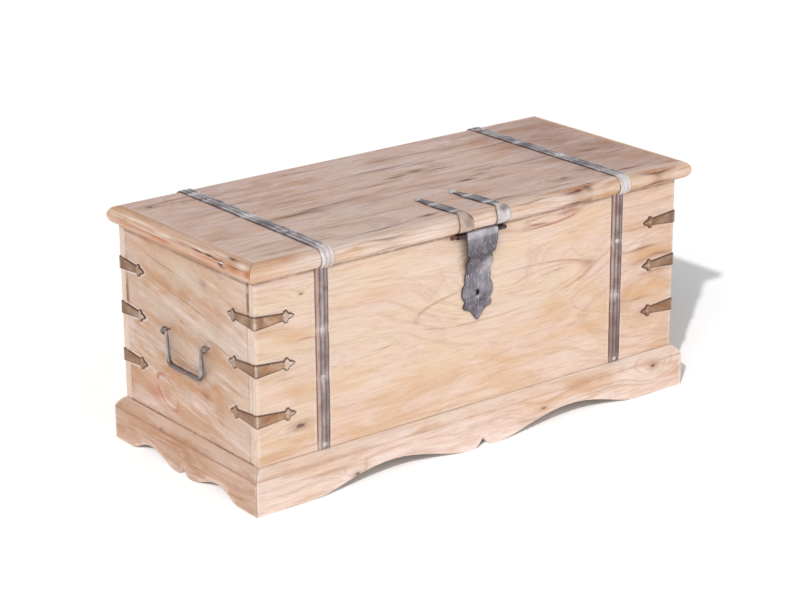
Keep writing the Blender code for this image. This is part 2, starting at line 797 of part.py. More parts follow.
def slot_mesh():
    # An upright slot with round ends, cut along Y.
    radius = HASP_SLOT_WIDTH / 2
    straight = HASP_SLOT_LENGTH / 2 - radius
    points = []
    for step in range(ROUND_SIDES):
        angle = 2 * math.pi * (step + HALF_SHARE) / ROUND_SIDES
        lift = math.copysign(straight, math.sin(angle))
        points.append((radius * math.cos(angle), lift + radius * math.sin(angle)))
    work = flat_shape("hasp_slot", points, 2 * LID_FRONT_OVERHANG)
    bmesh.ops.rotate(work, matrix=Matrix.Rotation(math.pi / 2, 3, "X"), verts=work.verts)
    return mesh_of(work, "hasp_slot")


def add_knuckle(item, name, place, width, pivot):
    barrel = rod_mesh(name, KNUCKLE_RADIUS, width, "X")
    boolean(item, make_cutter(name, barrel, place, pivot), "UNION")
    bore = rod_mesh(f"{name}_bore", PIN_RADIUS + PIN_CLEARANCE, width + 2 * OVERRUN, "X")
    boolean(item, make_cutter(f"{name}_bore", bore, place, pivot), "DIFFERENCE")


def tongue_edges():
    # The strap's tongue clears the plate's knuckle; both edges lie outwards of the strap's middle.
    return HASP_HALF_WIDTH + KNUCKLE_GAP - STRAP_OFFSET, STRAP_HALF_WIDTH - STRAP_TONGUE_TRIM


def strap_outline(length, wrap_end, outer):
    edge = [(STRAP_REACH * x, STRAP_HALF_WIDTH * y, kind) for x, y, kind in STRAP_EDGE_SHARES]
    edge.append((STRAP_REACH, STRAP_HALF_WIDTH, "corner"))
    edge.append((wrap_end, STRAP_HALF_WIDTH, "corner"))
    mirrored = [(x, -y, kind) for x, y, kind in reversed(edge)]
    inner, trimmed = tongue_edges()
    slope = wrap_end + STRAP_THICKNESS
    tongue = [(slope, trimmed), (length, trimmed), (length, inner), (slope, inner)]
    tongue = [(x, y, "corner") for x, y in tongue]
    return [(x, y * outer, kind) for x, y, kind in edge + tongue + mirrored]


def hasp_straps(lid):
    radius = NOSE_RADIUS + SEAM + STRAP_THICKNESS / 2
    turn = math.radians(KNUCKLE_ANGLE - 90)
    wrap_end = STRAP_REACH + radius * math.radians(STRAP_WRAP_ANGLE)
    inner, trimmed = tongue_edges()
    for name, side in (("hasp_strap_left", -1), ("hasp_strap_right", 1)):
        x = side * STRAP_OFFSET + HASP_DRIFT
        tip = FRONT_NOSE_CENTRE + Vector((STRAP_REACH, radius))
        path = Path(tip, math.pi)
        path.straight(STRAP_REACH).arc(radius, turn)
        work = flat_shape(name, strap_outline(path.length, wrap_end, side), STRAP_THICKNESS, 3)
        bend_along(work, path, lambda point, across: Vector((across, point.x, point.y)))
        strap = finish_strip(name, work, Vector((x, 0, 0)), lid, HASP_IRON)
        place = Vector((x + side * (inner + trimmed) / 2, PIN_Y, PIN_Z))
        add_knuckle(strap, f"{name}_knuckle", place, trimmed - inner, lid)


def hasp_pin(lid):
    # A round pin, its left end beaten flat so that it can't slip out.
    outer = STRAP_OFFSET + STRAP_HALF_WIDTH - STRAP_TONGUE_TRIM + PIN_END_STANDOUT
    rod = rod_mesh("hasp_pin", PIN_RADIUS, 2 * outer, "X", 16)
    place = Vector((HASP_DRIFT, PIN_Y, PIN_Z))
    pin = make_object("hasp_pin", rod, BRACKET_BRASS, place, lid)
    low = Vector((-outer - PIN_TAIL_LENGTH, -PIN_TAIL_THICKNESS / 2, -PIN_TAIL_HEIGHT / 2))
    high = Vector((-outer + PIN_END_STANDOUT / 2, PIN_TAIL_THICKNESS / 2, PIN_TAIL_HEIGHT / 2))
    tail = make_cutter("hasp_pin_tail", box_mesh("hasp_pin_tail", low, high), place, lid)
    boolean(pin, tail, "UNION")


def eye_places():
    return (("front", HANDLE_DRIFT - EYE_SPREAD), ("back", HANDLE_DRIFT + EYE_SPREAD))


def handle_eyes():
    # A ring on a shank that runs through the end panel and is clenched inside.
    for end, side in (("left", -1), ("right", 1)):
        outer = side * HALF_LENGTH
        inner = side * (HALF_LENGTH - PANEL_THICKNESS)
        ring_x = side * (HALF_LENGTH + HANDLE_STANDOFF)
        for place, y in eye_places():
            name = f"handle_eye_{end}_{place}"
            centre = Vector((ring_x, y, HANDLE_HEIGHT))
            eye = make_object(name, ring_mesh(name), HANDLE_STEEL, centre)
            start = side * (HALF_LENGTH + HANDLE_STANDOFF - EYE_RADIUS)
            finish = inner - side * (SEAM + CLENCH_THICKNESS / 2)
            rod = rod_mesh(f"{name}_shank", EYE_WIRE_RADIUS, abs(start - finish), "X", 16)
            middle = Vector(((start + finish) / 2, y, HANDLE_HEIGHT))
            boolean(eye, make_cutter(f"{name}_shank", rod, middle), "UNION")
            near, far = inner - side * SEAM, inner - side * (SEAM + CLENCH_THICKNESS)
            low = (min(near, far), y - CLENCH_LENGTH / 2, HANDLE_HEIGHT - CLENCH_HEIGHT / 2)
            high = (max(near, far), y + CLENCH_LENGTH / 2, HANDLE_HEIGHT + CLENCH_HEIGHT / 2)
            boolean(eye, make_cutter(f"{name}_clench", box_mesh("clench", low, high)), "UNION")


def ring_mesh(name):
    # A ring in the XZ plane, turned from its round wire.
    work = bmesh.new()
    bmesh.ops.create_circle(work, cap_ends=False, segments=10, radius=EYE_WIRE_RADIUS)
    bmesh.ops.rotate(work, matrix=Matrix.Rotation(math.pi / 2, 3, "Y"), verts=work.verts)
    bmesh.ops.rotate(work, matrix=Matrix.Rotation(math.pi / 2, 3, "Z"), verts=work.verts)
    bmesh.ops.translate(work, vec=(0, 0, EYE_RADIUS), verts=work.verts)
    bmesh.ops.rotate(work, matrix=Matrix.Rotation(math.pi / 2, 3, "Z"), verts=work.verts)
    bmesh.ops.spin(
        work,
        geom=list(work.verts) + list(work.edges),
        cent=(0, 0, 0),
        axis=(0, 1, 0),
        angle=2 * math.pi,
        steps=ROUND_SIDES,
        use_merge=True,
    )
    bmesh.ops.remove_doubles(work, verts=work.verts, dist=MERGE)
    face_outwards(work)
    mesh = mesh_of(work, name)
    shade_round(mesh)
    return mesh


def bail_route():
    # One half of the bail from the middle of its bar to the end of its stub: y, z and wire radius.
    route = [(0.0, -BAIL_DROP, BAIL_RADIUS)]
    straight = BAIL_HALF_WIDTH - BAIL_CORNER_RADIUS
    route.append((straight * HALF_SHARE, -BAIL_DROP, BAIL_RADIUS))
    for step in range(BAIL_CORNER_STEPS):
        angle = math.pi / 2 * step / (BAIL_CORNER_STEPS - 1)
        y = straight + BAIL_CORNER_RADIUS * math.sin(angle)
        z = -BAIL_DROP + BAIL_CORNER_RADIUS * (1 - math.cos(angle))
        route.append((y, z, BAIL_RADIUS))
    leg_foot = -BAIL_DROP + BAIL_CORNER_RADIUS
    for share in BAIL_LEG_SHARES:
        radius = BAIL_RADIUS + (BAIL_STUB_RADIUS - BAIL_RADIUS) * share * share
        route.append((BAIL_HALF_WIDTH, leg_foot * (1 - share) - BAIL_STUB_BEND * share, radius))
    for step in range(4):
        angle = math.pi / 2 * step / 3
        y = BAIL_HALF_WIDTH + BAIL_STUB_BEND * (1 - math.cos(angle))
        route.append((y, BAIL_STUB_BEND * (math.sin(angle) - 1), BAIL_STUB_RADIUS))
    end = BAIL_HALF_WIDTH + BAIL_STUB_BEND + BAIL_STUB_LENGTH
    route.append((end, 0.0, BAIL_STUB_RADIUS))
    return route


def bails():
    for end, side in (("left", -1), ("right", 1)):
        name = f"handle_{end}"
        place = Vector((side * (HALF_LENGTH + HANDLE_STANDOFF), HANDLE_DRIFT, BAIL_Z))
        pivot = make_axis(f"{name}_axis", place)
        half = bail_route()
        route = [(-y, z, radius) for y, z, radius in reversed(half[1:])] + half
        curve = bpy.data.curves.new(name, "CURVE")
        curve.dimensions = "3D"
        curve.bevel_depth = 1.0
        curve.bevel_resolution = 3
        curve.use_fill_caps = True
        spline = curve.splines.new("POLY")
        spline.points.add(len(route) - 1)
        for knot, (y, z, radius) in zip(spline.points, route):
            knot.co = (0, y, z, 1)
            knot.radius = radius
        work = curve_mesh(curve, name)
        bmesh.ops.remove_doubles(work, verts=work.verts, dist=MERGE)
        face_outwards(work)
        finish_strip(name, work, place, pivot, HANDLE_STEEL)


def lid_leaf_top():
    return LID_BOTTOM + HINGE_LEAF_THICKNESS


def leaf_pocket(end, low_z, high_z):
    x = end * HINGE_OFFSET
    half = HINGE_LENGTH / 2 + SEAM
    front = BACK_FACE - PANEL_THICKNESS + HINGE_LEAF_MARGIN - SEAM
    back = LID_BACK + HINGE_KNUCKLE_RADIUS
    return Vector((x - half, front, low_z)), Vector((x + half, back, high_z))


def hinge_leaf(name, end, low_z, barrels, parent=None):
    # A flat leaf let into the wood, with barrels round the pin behind it.
    high_z = low_z + HINGE_LEAF_THICKNESS
    x = end * HINGE_OFFSET
    front = BACK_FACE - PANEL_THICKNESS + HINGE_LEAF_MARGIN
    back = HINGE_Y - HINGE_KNUCKLE_RADIUS - HINGE_LEAF_GAP
    place = Vector((x, HINGE_Y, HINGE_Z))
    low = Vector((x - HINGE_LENGTH / 2, front, low_z)) - place
    high = Vector((x + HINGE_LENGTH / 2, back, high_z)) - place
    leaf = make_object(name, box_mesh(name, low, high), BAND_IRON, place, parent)
    start = -HINGE_LENGTH / 2
    for number, share in enumerate(HINGE_BARREL_SHARES):
        finish = start + HINGE_LENGTH * share
        if number in barrels:
            left = start + (KNUCKLE_GAP / 2 if number else 0)
            right = finish - (KNUCKLE_GAP / 2 if number < len(HINGE_BARREL_SHARES) - 1 else 0)
            centre = place + Vector(((left + right) / 2, 0, 0))
            barrel = rod_mesh("barrel", HINGE_KNUCKLE_RADIUS, right - left, "X")
            boolean(leaf, make_cutter(f"{name}_barrel_{number}", barrel, centre, parent), "UNION")
            web_low = Vector((left, high.y - HINGE_LEAF_GAP, low_z - HINGE_Z))
            web_high = Vector((right, -HINGE_PIN_RADIUS, high_z - HINGE_Z))
            web = make_cutter(f"{name}_web_{number}", box_mesh("web", web_low, web_high), place, parent)
            boolean(leaf, web, "UNION")
        start = finish
    bore_radius = HINGE_PIN_RADIUS + PIN_CLEARANCE
    bore = rod_mesh("bore", bore_radius, HINGE_LENGTH + 2 * OVERRUN, "X")
    boolean(leaf, make_cutter(f"{name}_bore", bore, place, parent), "DIFFERENCE")


def rear_hinges(lid):
    panel = bpy.data.objects["back_panel"]
    for side, end in (("left", -1), ("right", 1)):
        low_z = BODY_TOP - HINGE_LEAF_THICKNESS
        low, high = leaf_pocket(end, low_z - SEAM, BODY_TOP + OVERRUN)
        pocket = make_cutter(f"body_pocket_{side}", box_mesh("pocket", low, high))
        boolean(panel, pocket, "DIFFERENCE")
        hinge_leaf(f"rear_hinge_leaf_{side}", end, low_z, (0, 2))
        hinge_leaf(f"lid_hinge_leaf_{side}", end, LID_BOTTOM, (1,), lid)
        length = HINGE_LENGTH + 2 * PIN_END_STANDOUT
        pin = rod_mesh(f"rear_hinge_pin_{side}", HINGE_PIN_RADIUS, length, "X", 16)
        place = (end * HINGE_OFFSET, HINGE_Y, HINGE_Z)
        make_object(f"rear_hinge_pin_{side}", pin, BAND_IRON, place)


clear_scene()
parts = make_collection("storage_chest")
cutters = make_collection("cutters")
lid_axis = make_axis("lid_axis", (0, HINGE_Y, HINGE_Z))
hasp_axis = make_axis("hasp_axis", (HASP_DRIFT, PIN_Y, PIN_Z), lid_axis)

body_panels()
chest_floor()
foot_blocks()
plinth()
lid_nosings(lid_axis)
lid_boards(lid_axis)
lid_battens(lid_axis)
lid_bands(lid_axis)
front_bands()
corner_brackets()
hasp_straps(lid_axis)
hasp_pin(lid_axis)
hasp_plate(hasp_axis)
handle_eyes()
bails()
rear_hinges(lid_axis)
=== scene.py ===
from math import acos, ceil, copysign, cos, exp, hypot, pi, radians, sin

import bmesh
import bpy
from mathutils import Matrix, Vector, kdtree, noise


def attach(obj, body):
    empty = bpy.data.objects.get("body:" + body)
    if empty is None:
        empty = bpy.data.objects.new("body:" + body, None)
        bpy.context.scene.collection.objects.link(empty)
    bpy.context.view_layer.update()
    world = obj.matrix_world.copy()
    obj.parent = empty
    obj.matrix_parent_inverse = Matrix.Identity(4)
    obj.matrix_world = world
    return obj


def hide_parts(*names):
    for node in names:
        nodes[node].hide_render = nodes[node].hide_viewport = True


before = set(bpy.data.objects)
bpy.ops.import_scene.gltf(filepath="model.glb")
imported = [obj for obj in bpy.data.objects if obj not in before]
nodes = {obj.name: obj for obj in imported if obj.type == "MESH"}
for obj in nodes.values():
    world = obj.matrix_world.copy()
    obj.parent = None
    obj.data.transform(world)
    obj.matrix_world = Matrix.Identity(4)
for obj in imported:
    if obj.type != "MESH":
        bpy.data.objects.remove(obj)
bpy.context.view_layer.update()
scene = bpy.context.scene


def stage(text):
    print(f"chest: {text}")


# Sizes that several pieces share, in metres; the solids say where each piece goes
chest = {
    "halfLength": 0.4305, "halfDepth": 0.190, "bodyTop": 0.3721, "plinthTop": 0.0729,
    "lidTop": 0.4025, "lidFront": -0.2099, "lidBack": 0.1937, "noseRadius": 0.01505, "seam": 0.0003,
}
mm = 0.001   # marks, knots and rings are given in millimetres
noseHeight = chest["bodyTop"] + chest["seam"] + chest["noseRadius"]
frontNose = Vector((chest["lidFront"] + chest["noseRadius"], noseHeight))
backNose = Vector((chest["lidBack"] - chest["noseRadius"], noseHeight))


def paint(picked):
    # A colour as it is picked on a screen, from 0 to 255, as the shader wants it
    def linear(value):
        share = value / 255
        return share / 12.92 if share <= 0.04045 else ((share + 0.055) / 1.055) ** 2.4
    return (*(linear(value) for value in picked), 1.0)


# Node trees
class Flow:  # what a node gives out; sums and products of flows add nodes for the maths
    def __init__(self, work, socket):
        self.work, self.socket = work, socket

    def maths(self, operation, first, second):
        vector = any(isinstance(one, tuple) or isinstance(one, Flow) and one.socket.type == "VECTOR"
                     for one in (first, second))
        return (self.work.vector if vector else self.work.calc)(operation, first, second)

    def __add__(self, other):
        return self.maths("ADD", self, other)

    def __sub__(self, other):
        return self.maths("SUBTRACT", self, other)

    def __rsub__(self, other):
        return self.maths("SUBTRACT", other, self)

    def __mul__(self, other):
        return self.maths("MULTIPLY", self, other)

    def __truediv__(self, other):
        return self.maths("DIVIDE", self, other)

    def __abs__(self):
        return self.work.calc("ABSOLUTE", self)

    __radd__, __rmul__ = __add__, __mul__


class Wiring:  # adds nodes to one tree and joins them
    def __init__(self, tree):
        self.tree = tree
        self.read = self.place = None   # where a point lies in its piece, and on its board's face

    def plug(self, socket, value):
        if isinstance(value, Flow):
            self.tree.links.new(value.socket, socket)
        else:
            socket.default_value = value

    def add(self, kind, inputs=None, **settings):
        node = self.tree.nodes.new(kind)
        for name, value in settings.items():
            setattr(node, name, value)
        for name, value in (inputs or {}).items():
            self.plug(node.inputs[name], value)
        return node

    def flow(self, kind, inputs=None, out=0, **settings):
        return Flow(self, self.add(kind, inputs, **settings).outputs[out])

    def flows(self, node):
        return {socket.name: Flow(self, socket) for socket in node.outputs if socket.name}

    def calc(self, operation, *values, clamp=False):
        return self.flow("ShaderNodeMath", dict(enumerate(values)), operation=operation, use_clamp=clamp)

    def vector(self, operation, *values):
        out = "Value" if operation == "LENGTH" else "Vector"
        return self.flow("ShaderNodeVectorMath", dict(enumerate(values)), out, operation=operation)

    def most(self, first, second):
        return self.calc("MAXIMUM", first, second)

    def bell(self, value):
        return self.calc("EXPONENT", value * value * -1)

    def scaled(self, value, factor, offset):
        # Times a factor, plus an offset, held between 0 and 1
        return self.calc("MULTIPLY_ADD", value, factor, offset, clamp=True)

    def split(self, vector):
        return list(self.flows(self.add("ShaderNodeSeparateXYZ", {"Vector": vector})).values())

    def join(self, x, y, z):
        return self.flow("ShaderNodeCombineXYZ", {"X": x, "Y": y, "Z": z})

    def cloud(self, place, stretch, detail=2.0, roughness=0.5, bend=0.0):
        # Noise, closer together along an axis where stretch is larger
        inputs = {"Vector": self.vector("MULTIPLY", place, stretch), "Scale": 1.0, "Detail": detail,
                  "Roughness": roughness, "Distortion": bend}
        return self.flow("ShaderNodeTexNoise", inputs, "Fac")

    def line(self, where, out="Fac"):
        inputs = {"W": where, "Scale": 1.0, "Detail": 1.0}
        return self.flow("ShaderNodeTexNoise", inputs, out, noise_dimensions="1D")

    def turned(self, place, angle):
        return self.flow("ShaderNodeVectorRotate", {"Vector": place, "Angle": angle}, rotation_type="Z_AXIS")

    def step(self, value, low, high):
        inputs = {"Value": value, "From Min": low, "From Max": high}
        return self.flow("ShaderNodeMapRange", inputs, "Result", interpolation_type="SMOOTHSTEP")

    def noiseStep(self, low, high, *noiseValues):
        return self.step(self.cloud(*noiseValues), low, high)

    def mix(self, factor, *colours):
        # Colours are flows, or as picked on a screen
        node = self.add("ShaderNodeMix", data_type="RGBA")
        sockets = {socket.identifier: socket for socket in node.inputs}
        self.plug(sockets["Factor_Float"], factor)
        for name, colour in zip(("A_Color", "B_Color"), colours):
            self.plug(sockets[name], paint(colour) if isinstance(colour, tuple) else colour)
        return Flow(self, next(socket for socket in node.outputs if socket.identifier == "Result_Color"))

    def ramp(self, factor, *stops):
        node = self.add("ShaderNodeValToRGB", {"Fac": factor})
        keys = node.color_ramp.elements
        while len(keys) < len(stops):
            keys.new(1.0)
        for key, (position, grey) in zip(keys, stops):
            key.position = position
            key.color = (grey, grey, grey, 1)
        return Flow(self, node.outputs["Color"])

    def group(self, tree, **values):
        return self.flows(self.add("ShaderNodeGroup", values, node_tree=tree))


def newGroup(name, inputs, outputs, kind="ShaderNodeTree"):
    # Inputs and outputs: the kind of socket, and the names of those of that kind
    tree = bpy.data.node_groups.new(name, kind)
    for way, sockets in (("INPUT", inputs), ("OUTPUT", outputs)):
        for socketKind, titles in sockets.items():
            for title in titles.split():
                tree.interface.new_socket(name=title, in_out=way, socket_type=f"NodeSocket{socketKind}")
    work = Wiring(tree)
    return work, work.flows(work.add("NodeGroupInput")), work.add("NodeGroupOutput").inputs


def shiftedPlace(work, given):
    return given["Place"] + work.join(given["Seed"], given["Seed"], given["Seed"])


def growthRings():
    # Rings round a wandering pith, cut by the board's faces, and the lines and patches that follow them
    work, given, result = newGroup(
        "growthRings", {"Vector": "Place Pith", "Float": "Ring Drift Lift Seed Short"},
        {"Float": "Rings Lines Fibre Pores Patch Zone Streak Flecks"})
    seed = given["Seed"]
    shifted = given["Place"] * work.join(given["Short"], 1.0, 1.0) + work.join(seed, seed, seed)
    along, across = work.split(shifted)[:2]
    wander = work.line(along * 1.6, "Color") - (0.5, 0.5, 0.5)
    centred = given["Place"] - given["Pith"] + wander * work.join(0.0, given["Drift"], given["Drift"])
    radial = work.vector("LENGTH", centred * (0.0, 1.0, 1.0))
    swell = (work.cloud(shifted, (2.8, 15, 15)) - 0.5) * 0.020
    ripple = (work.cloud(shifted, (12, 110, 110)) - 0.5) * 0.0022
    reach = radial + swell + ripple + given["Lift"]
    turns = reach / given["Ring"]
    turns = turns + work.line(turns * 0.45) * 1.6
    fade = work.noiseStep(0.36, 0.60, shifted, (4.5, 30, 30))
    ring = work.ramp(work.calc("FRACT", turns), (0.0, 0.0), (0.45, 0.06), (0.80, 0.42), (0.93, 1.0), (1.0, 0.0))
    year = work.flow("ShaderNodeTexWhiteNoise", {"W": work.calc("FLOOR", turns)}, noise_dimensions="1D")
    # Noise drawn out along the grain: its second coordinate is the distance from the pith
    grained = work.join(along, reach + across * 0.35, seed)
    made = {
        "Rings": ring * (year * 0.8 + 0.2) * (fade * 0.8 + 0.2),
        "Lines": work.noiseStep(0.48, 0.64, grained, (6.5, 260, 1), 4.0, 0.66),
        "Streak": work.noiseStep(0.46, 0.70, grained, (4.0, 62, 1), 4.0, 0.64, 0.25),
        "Fibre": work.noiseStep(0.40, 0.62, shifted, (13, 430, 430), 3.0, 0.66),
        "Pores": work.noiseStep(0.60, 0.72, shifted, (42, 760, 760), 2.0, 0.55),
        "Flecks": work.noiseStep(0.66, 0.76, shifted, (30, 330, 330), 3.0, 0.6),
        "Patch": work.noiseStep(0.40, 0.62, shifted, (7.5, 24, 24), 5.0, 0.62, 0.6),
        "Zone": work.noiseStep(0.40, 0.60, shifted, (2.6, 8.5, 8.5), 4.0, 0.55, 0.5),
    }
    for title, flow in made.items():
        work.plug(result[title], flow)
    return work.tree


def boardKnot():
    # A knot that goes through the board: lifts the rings round it, with a dark heart and a shaded rim
    work, given, result = newGroup(
        "boardKnot", {"Vector": "Place Centre", "Float": "Heart Reach Stretch Height"},
        {"Float": "Lift Heart Shade Rings"})
    flat = (given["Place"] - given["Centre"]) * work.join(given["Stretch"], 1.0, 0.0)
    uneven = work.cloud(given["Place"], (130, 130, 130)) - 0.5
    far = work.vector("LENGTH", flat) + uneven * (given["Heart"] * 0.9)
    core = far / given["Heart"]
    work.plug(result["Lift"], work.bell(far / given["Reach"]) * given["Height"])
    work.plug(result["Heart"], 1.0 - work.step(core, 0.75, 1.15))
    work.plug(result["Shade"], work.bell(core * 0.42))
    rings = work.ramp(work.calc("FRACT", core * 2.6), (0.0, 0.0), (0.6, 0.3), (0.9, 1.0), (1.0, 0.0))
    work.plug(result["Rings"], rings)
    return work.tree


def limeWash():
    # Old white wash: it stays in patches, along edges and round the ironwork
    work, given, result = newGroup(
        "limeWash", {"Vector": "Place", "Float": "Amount Edge Seed"}, {"Float": "Mask"})
    shifted = shiftedPlace(work, given)
    broad = work.cloud(shifted, (6, 19, 19), 4.0, 0.6, 0.6)
    brushed = work.cloud(shifted, (13, 190, 190), 3.0, 0.65)
    level = broad * 0.6 + brushed * 0.4 + given["Edge"] * 0.35 + given["Amount"] * 0.3
    work.plug(result["Mask"], work.step(level, 0.56, 0.72))
    return work.tree


def wornIron():
    # Clouds, pits, scratches and rust of beaten iron, and bright specks of painted glint
    work, given, result = newGroup(
        "wornIron", {"Vector": "Place", "Float": "Seed"}, {"Float": "Cloud Pits Scratches Rust Beaten Specks"})
    shifted = shiftedPlace(work, given)
    made = {
        "Cloud": work.noiseStep(0.34, 0.68, shifted, (38, 38, 38), 4.0, 0.6, 0.3),
        "Pits": work.noiseStep(0.60, 0.72, shifted, (520, 520, 520), 3.0, 0.6),
        "Scratches": work.noiseStep(0.60, 0.70, shifted, (700, 700, 22), 2.0, 0.5, 0.1),
        "Rust": work.noiseStep(0.56, 0.72, shifted, (75, 75, 75), 5.0, 0.65, 0.6),
        "Specks": work.noiseStep(0.60, 0.66, shifted, (520, 520, 330), 3.0, 0.7),
        "Beaten": work.cloud(shifted, (95, 95, 95), 2.0, 0.4),
    }
    for title, flow in made.items():
        work.plug(result[title], flow)
    return work.tree


ringsGroup, knotGroup, washGroup, ironGroup = growthRings(), boardKnot(), limeWash(), wornIron()
stage("shader groups ready")


def newMaterial(name):
    material = bpy.data.materials.new(name)
    material.use_nodes = True
    return material, Wiring(material.node_tree), material.node_tree.nodes["Principled BSDF"]


def rubbed(work, name="rub"):
    # A value that the mesh carries, 0 where it has none
    return work.flow("ShaderNodeAttribute", out="Fac", attribute_name=name)


def reading(work, axis):
    return work.split(work.read)["xyz".index(axis)]


def aside(work, along, across):
    # How far away a point of the board's face is, as a vector
    return work.place - (along * mm, across * mm, 0)


def lineMark(axis, at, width, colour, strength, within=None):
    # A dark line across one axis, as dirt leaves in a seam; under the lid's overhang and below the plinth's
    # rounded edge it is painted shade
    def mark(work, below):
        far = abs(reading(work, axis) - at * mm)
        broken = work.noiseStep(0.30, 0.60, work.read, (45, 45, 45), 3.0, 0.6)
        mask = (1.0 - work.step(far, width * 0.25 * mm, width * mm)) * strength * (broken * 0.6 + 0.4)
        if within:
            other, low, high = within
            there = reading(work, other)
            inside = work.calc("GREATER_THAN", there, low * mm) * work.calc("LESS_THAN", there, high * mm)
            mask = mask * inside
        return work.mix(mask, below, colour)
    return mark


def loopMark(along, across, long, high, tilt, width, colour, strength):
    # The oval line that a growth ring draws where a bow in the grain is cut flat
    def mark(work, below):
        local = work.turned(aside(work, along, across), -tilt) * (1 / long / mm, 1 / high / mm, 0)
        bent = work.cloud(work.place, (8, 8, 8)) * 0.26 + -0.13
        near = abs(work.vector("LENGTH", local) + bent - 1.0) * (high / width)
        broken = work.noiseStep(0.36, 0.62, work.place, (13, 60, 60), 3.0, 0.6)
        return work.mix(work.bell(near) * (broken * strength), below, colour)
    return mark


def streakMarks(marks, colour, bend=12):
    # Short smears along the grain: along, across, half length, half width, strength
    def mark(work, below):
        whole = 0.0
        ragged = work.scaled(work.cloud(work.place, (22, 260, 0), 3.0, 0.65), 3.6, -0.75)
        bent = work.cloud(work.place, (14, 14, 0)) * (bend * mm) + -bend * mm / 2
        for along, across, long, wide, strength in marks:
            first, second = work.split(aside(work, along, across))[:2]
            first, second = first / (long * mm), (second + bent) / (wide * mm)
            far = first * first + second * second
            whole = work.most(work.calc("EXPONENT", far * -1) * strength, whole)
        return work.mix(whole * ragged, below, colour)
    return mark


def onSide(mark):
    # The same mark on an upright rim, where across is read as height
    def turned(work, below):
        flat = work.place
        along, across, height = work.split(flat)
        work.place = work.join(along, height, across)
        colour = mark(work, below)
        work.place = flat
        return colour
    return turned


def shadeMark(along, across, long, wide, colour, strength, soft=0.2):
    # A soft dark smudge; behind the hasp plate, which stands off the board, it is painted shade
    def mark(work, below):
        local = aside(work, along, across) * (1 / long / mm, 1 / wide / mm, 0)
        uneven = work.cloud(work.place, (90, 90, 90), 3.0, 0.6) * 0.8 + -0.4
        far = work.vector("LENGTH", local) + uneven
        return work.mix((1.0 - work.step(far, soft, 1.0)) * strength, below, colour)
    return mark


def gradeMark(axis, low, high, colour, strength):
    # A slow change of tone along one axis
    def mark(work, below):
        share = work.step(reading(work, axis), low * mm, high * mm)
        uneven = work.scaled(work.cloud(work.read, (6, 6, 6), 3.0), 1.2, -0.1)
        return work.mix(share * uneven * strength, below, colour)
    return mark


knotHeart = {"least": 1.1, "shade": 0.6, "strength": 0.85, "rings": (70, 42, 30)}
# How rough the wood is, and what stands out of it or, below zero, lies deeper: shares of its relief
woodSurface = {
    "rough": 0.52, "washRough": 0.18, "fibreRough": 0.08, "relief": 0.45,
    "Rings": 0.4, "Lines": -0.5, "Fibre": 0.35, "Pores": -0.8, "knot": -0.5,
}


def makeWood(name, look):
    # A knot no larger than the least heart only bends the grain
    material, work, shader = newMaterial(name)
    work.read = work.place = work.flow("ShaderNodeTexCoord", out="Object")
    # X runs along the board, Y across it and Z into it
    place = work.join(*(reading(work, letter) for letter in look["turn"]))
    if look["lean"]:
        place = work.turned(place, look["lean"])
    work.place = place
    lift, heart, shade, knotRings = 0.0, 0.0, 0.0, 0.0
    for along, across, size, reach, stretch, height in look["knots"]:
        out = work.group(
            knotGroup, Place=place, Centre=(along * mm, across * mm, 0), Heart=size * mm, Reach=reach * mm,
            Stretch=stretch, Height=height * mm)
        lift = out["Lift"] + lift
        if size > knotHeart["least"]:
            heart = work.most(out["Heart"], heart)
            shade = work.most(out["Shade"], shade)
            knotRings = work.most(out["Rings"] * out["Heart"], knotRings)
    grain = work.group(
        ringsGroup, Place=place, Pith=tuple(part * mm for part in look["pith"]), Ring=look["ring"] * mm,
        Drift=look["drift"] * mm, Lift=lift, Seed=look["seed"], Short=look["short"])
    edge = rubbed(work) * look["edge"]
    for fringe in look["fringes"]:
        edge = work.most(edge, fringe(work))
    wash = work.group(washGroup, Place=place, Amount=look["wash"], Edge=edge, Seed=look["seed"])["Mask"]
    colour = work.mix(grain["Zone"], look["light"], look["warm"])
    colour = work.mix(grain["Streak"] * look["streaks"], colour, look["orange"])
    for mark in look["grades"]:
        colour = mark(work, colour)
    colour = work.mix(grain["Patch"] * look["patches"], colour, look["pink"])
    stain = work.noiseStep(*look["stainLevel"], place, (6, 50, 50), 5.0, 0.64, 0.5)
    colour = work.mix(stain * look["stains"], colour, look["deep"])
    colour = work.mix(wash * look["washed"], colour, look["white"])
    for title, amount, tone in (
            ("Rings", "rings", "deep"), ("Lines", "lines", "deep"), ("Fibre", "fibres", "deep"),
            ("Flecks", "flecks", "stain"), ("Pores", "pores", "stain")):
        colour = work.mix(grain[title] * look[amount], colour, look[tone])
    if look["knots"]:
        colour = work.mix(shade * knotHeart["shade"], colour, look["stain"])
        knotColour = work.mix(knotRings, look["knot"], knotHeart["rings"])
        colour = work.mix(heart * knotHeart["strength"], colour, knotColour)
    for mark in look["marks"]:
        colour = mark(work, colour)
    work.plug(shader.inputs["Base Color"], colour)
    share = woodSurface
    rough = share["rough"] + wash * share["washRough"] + grain["Fibre"] * share["fibreRough"]
    work.plug(shader.inputs["Roughness"], rough)
    height = grain["Rings"] * share["Rings"]
    for title in ("Lines", "Fibre", "Pores"):
        height = height + grain[title] * share[title]
    relief(work, shader, height + work.calc("MULTIPLY", heart, share["knot"]), share["relief"])
    return material


def relief(work, shader, height, distance):
    bump = work.flow("ShaderNodeBump", {"Height": height, "Strength": 0.6, "Distance": distance * mm})
    work.plug(shader.inputs["Normal"], bump)


def bandFringe(offset, near, far):
    # Wash left along both sides of an upright band
    def mask(work):
        return 1.0 - work.step(abs(reading(work, "x") - offset), near, far)
    return mask


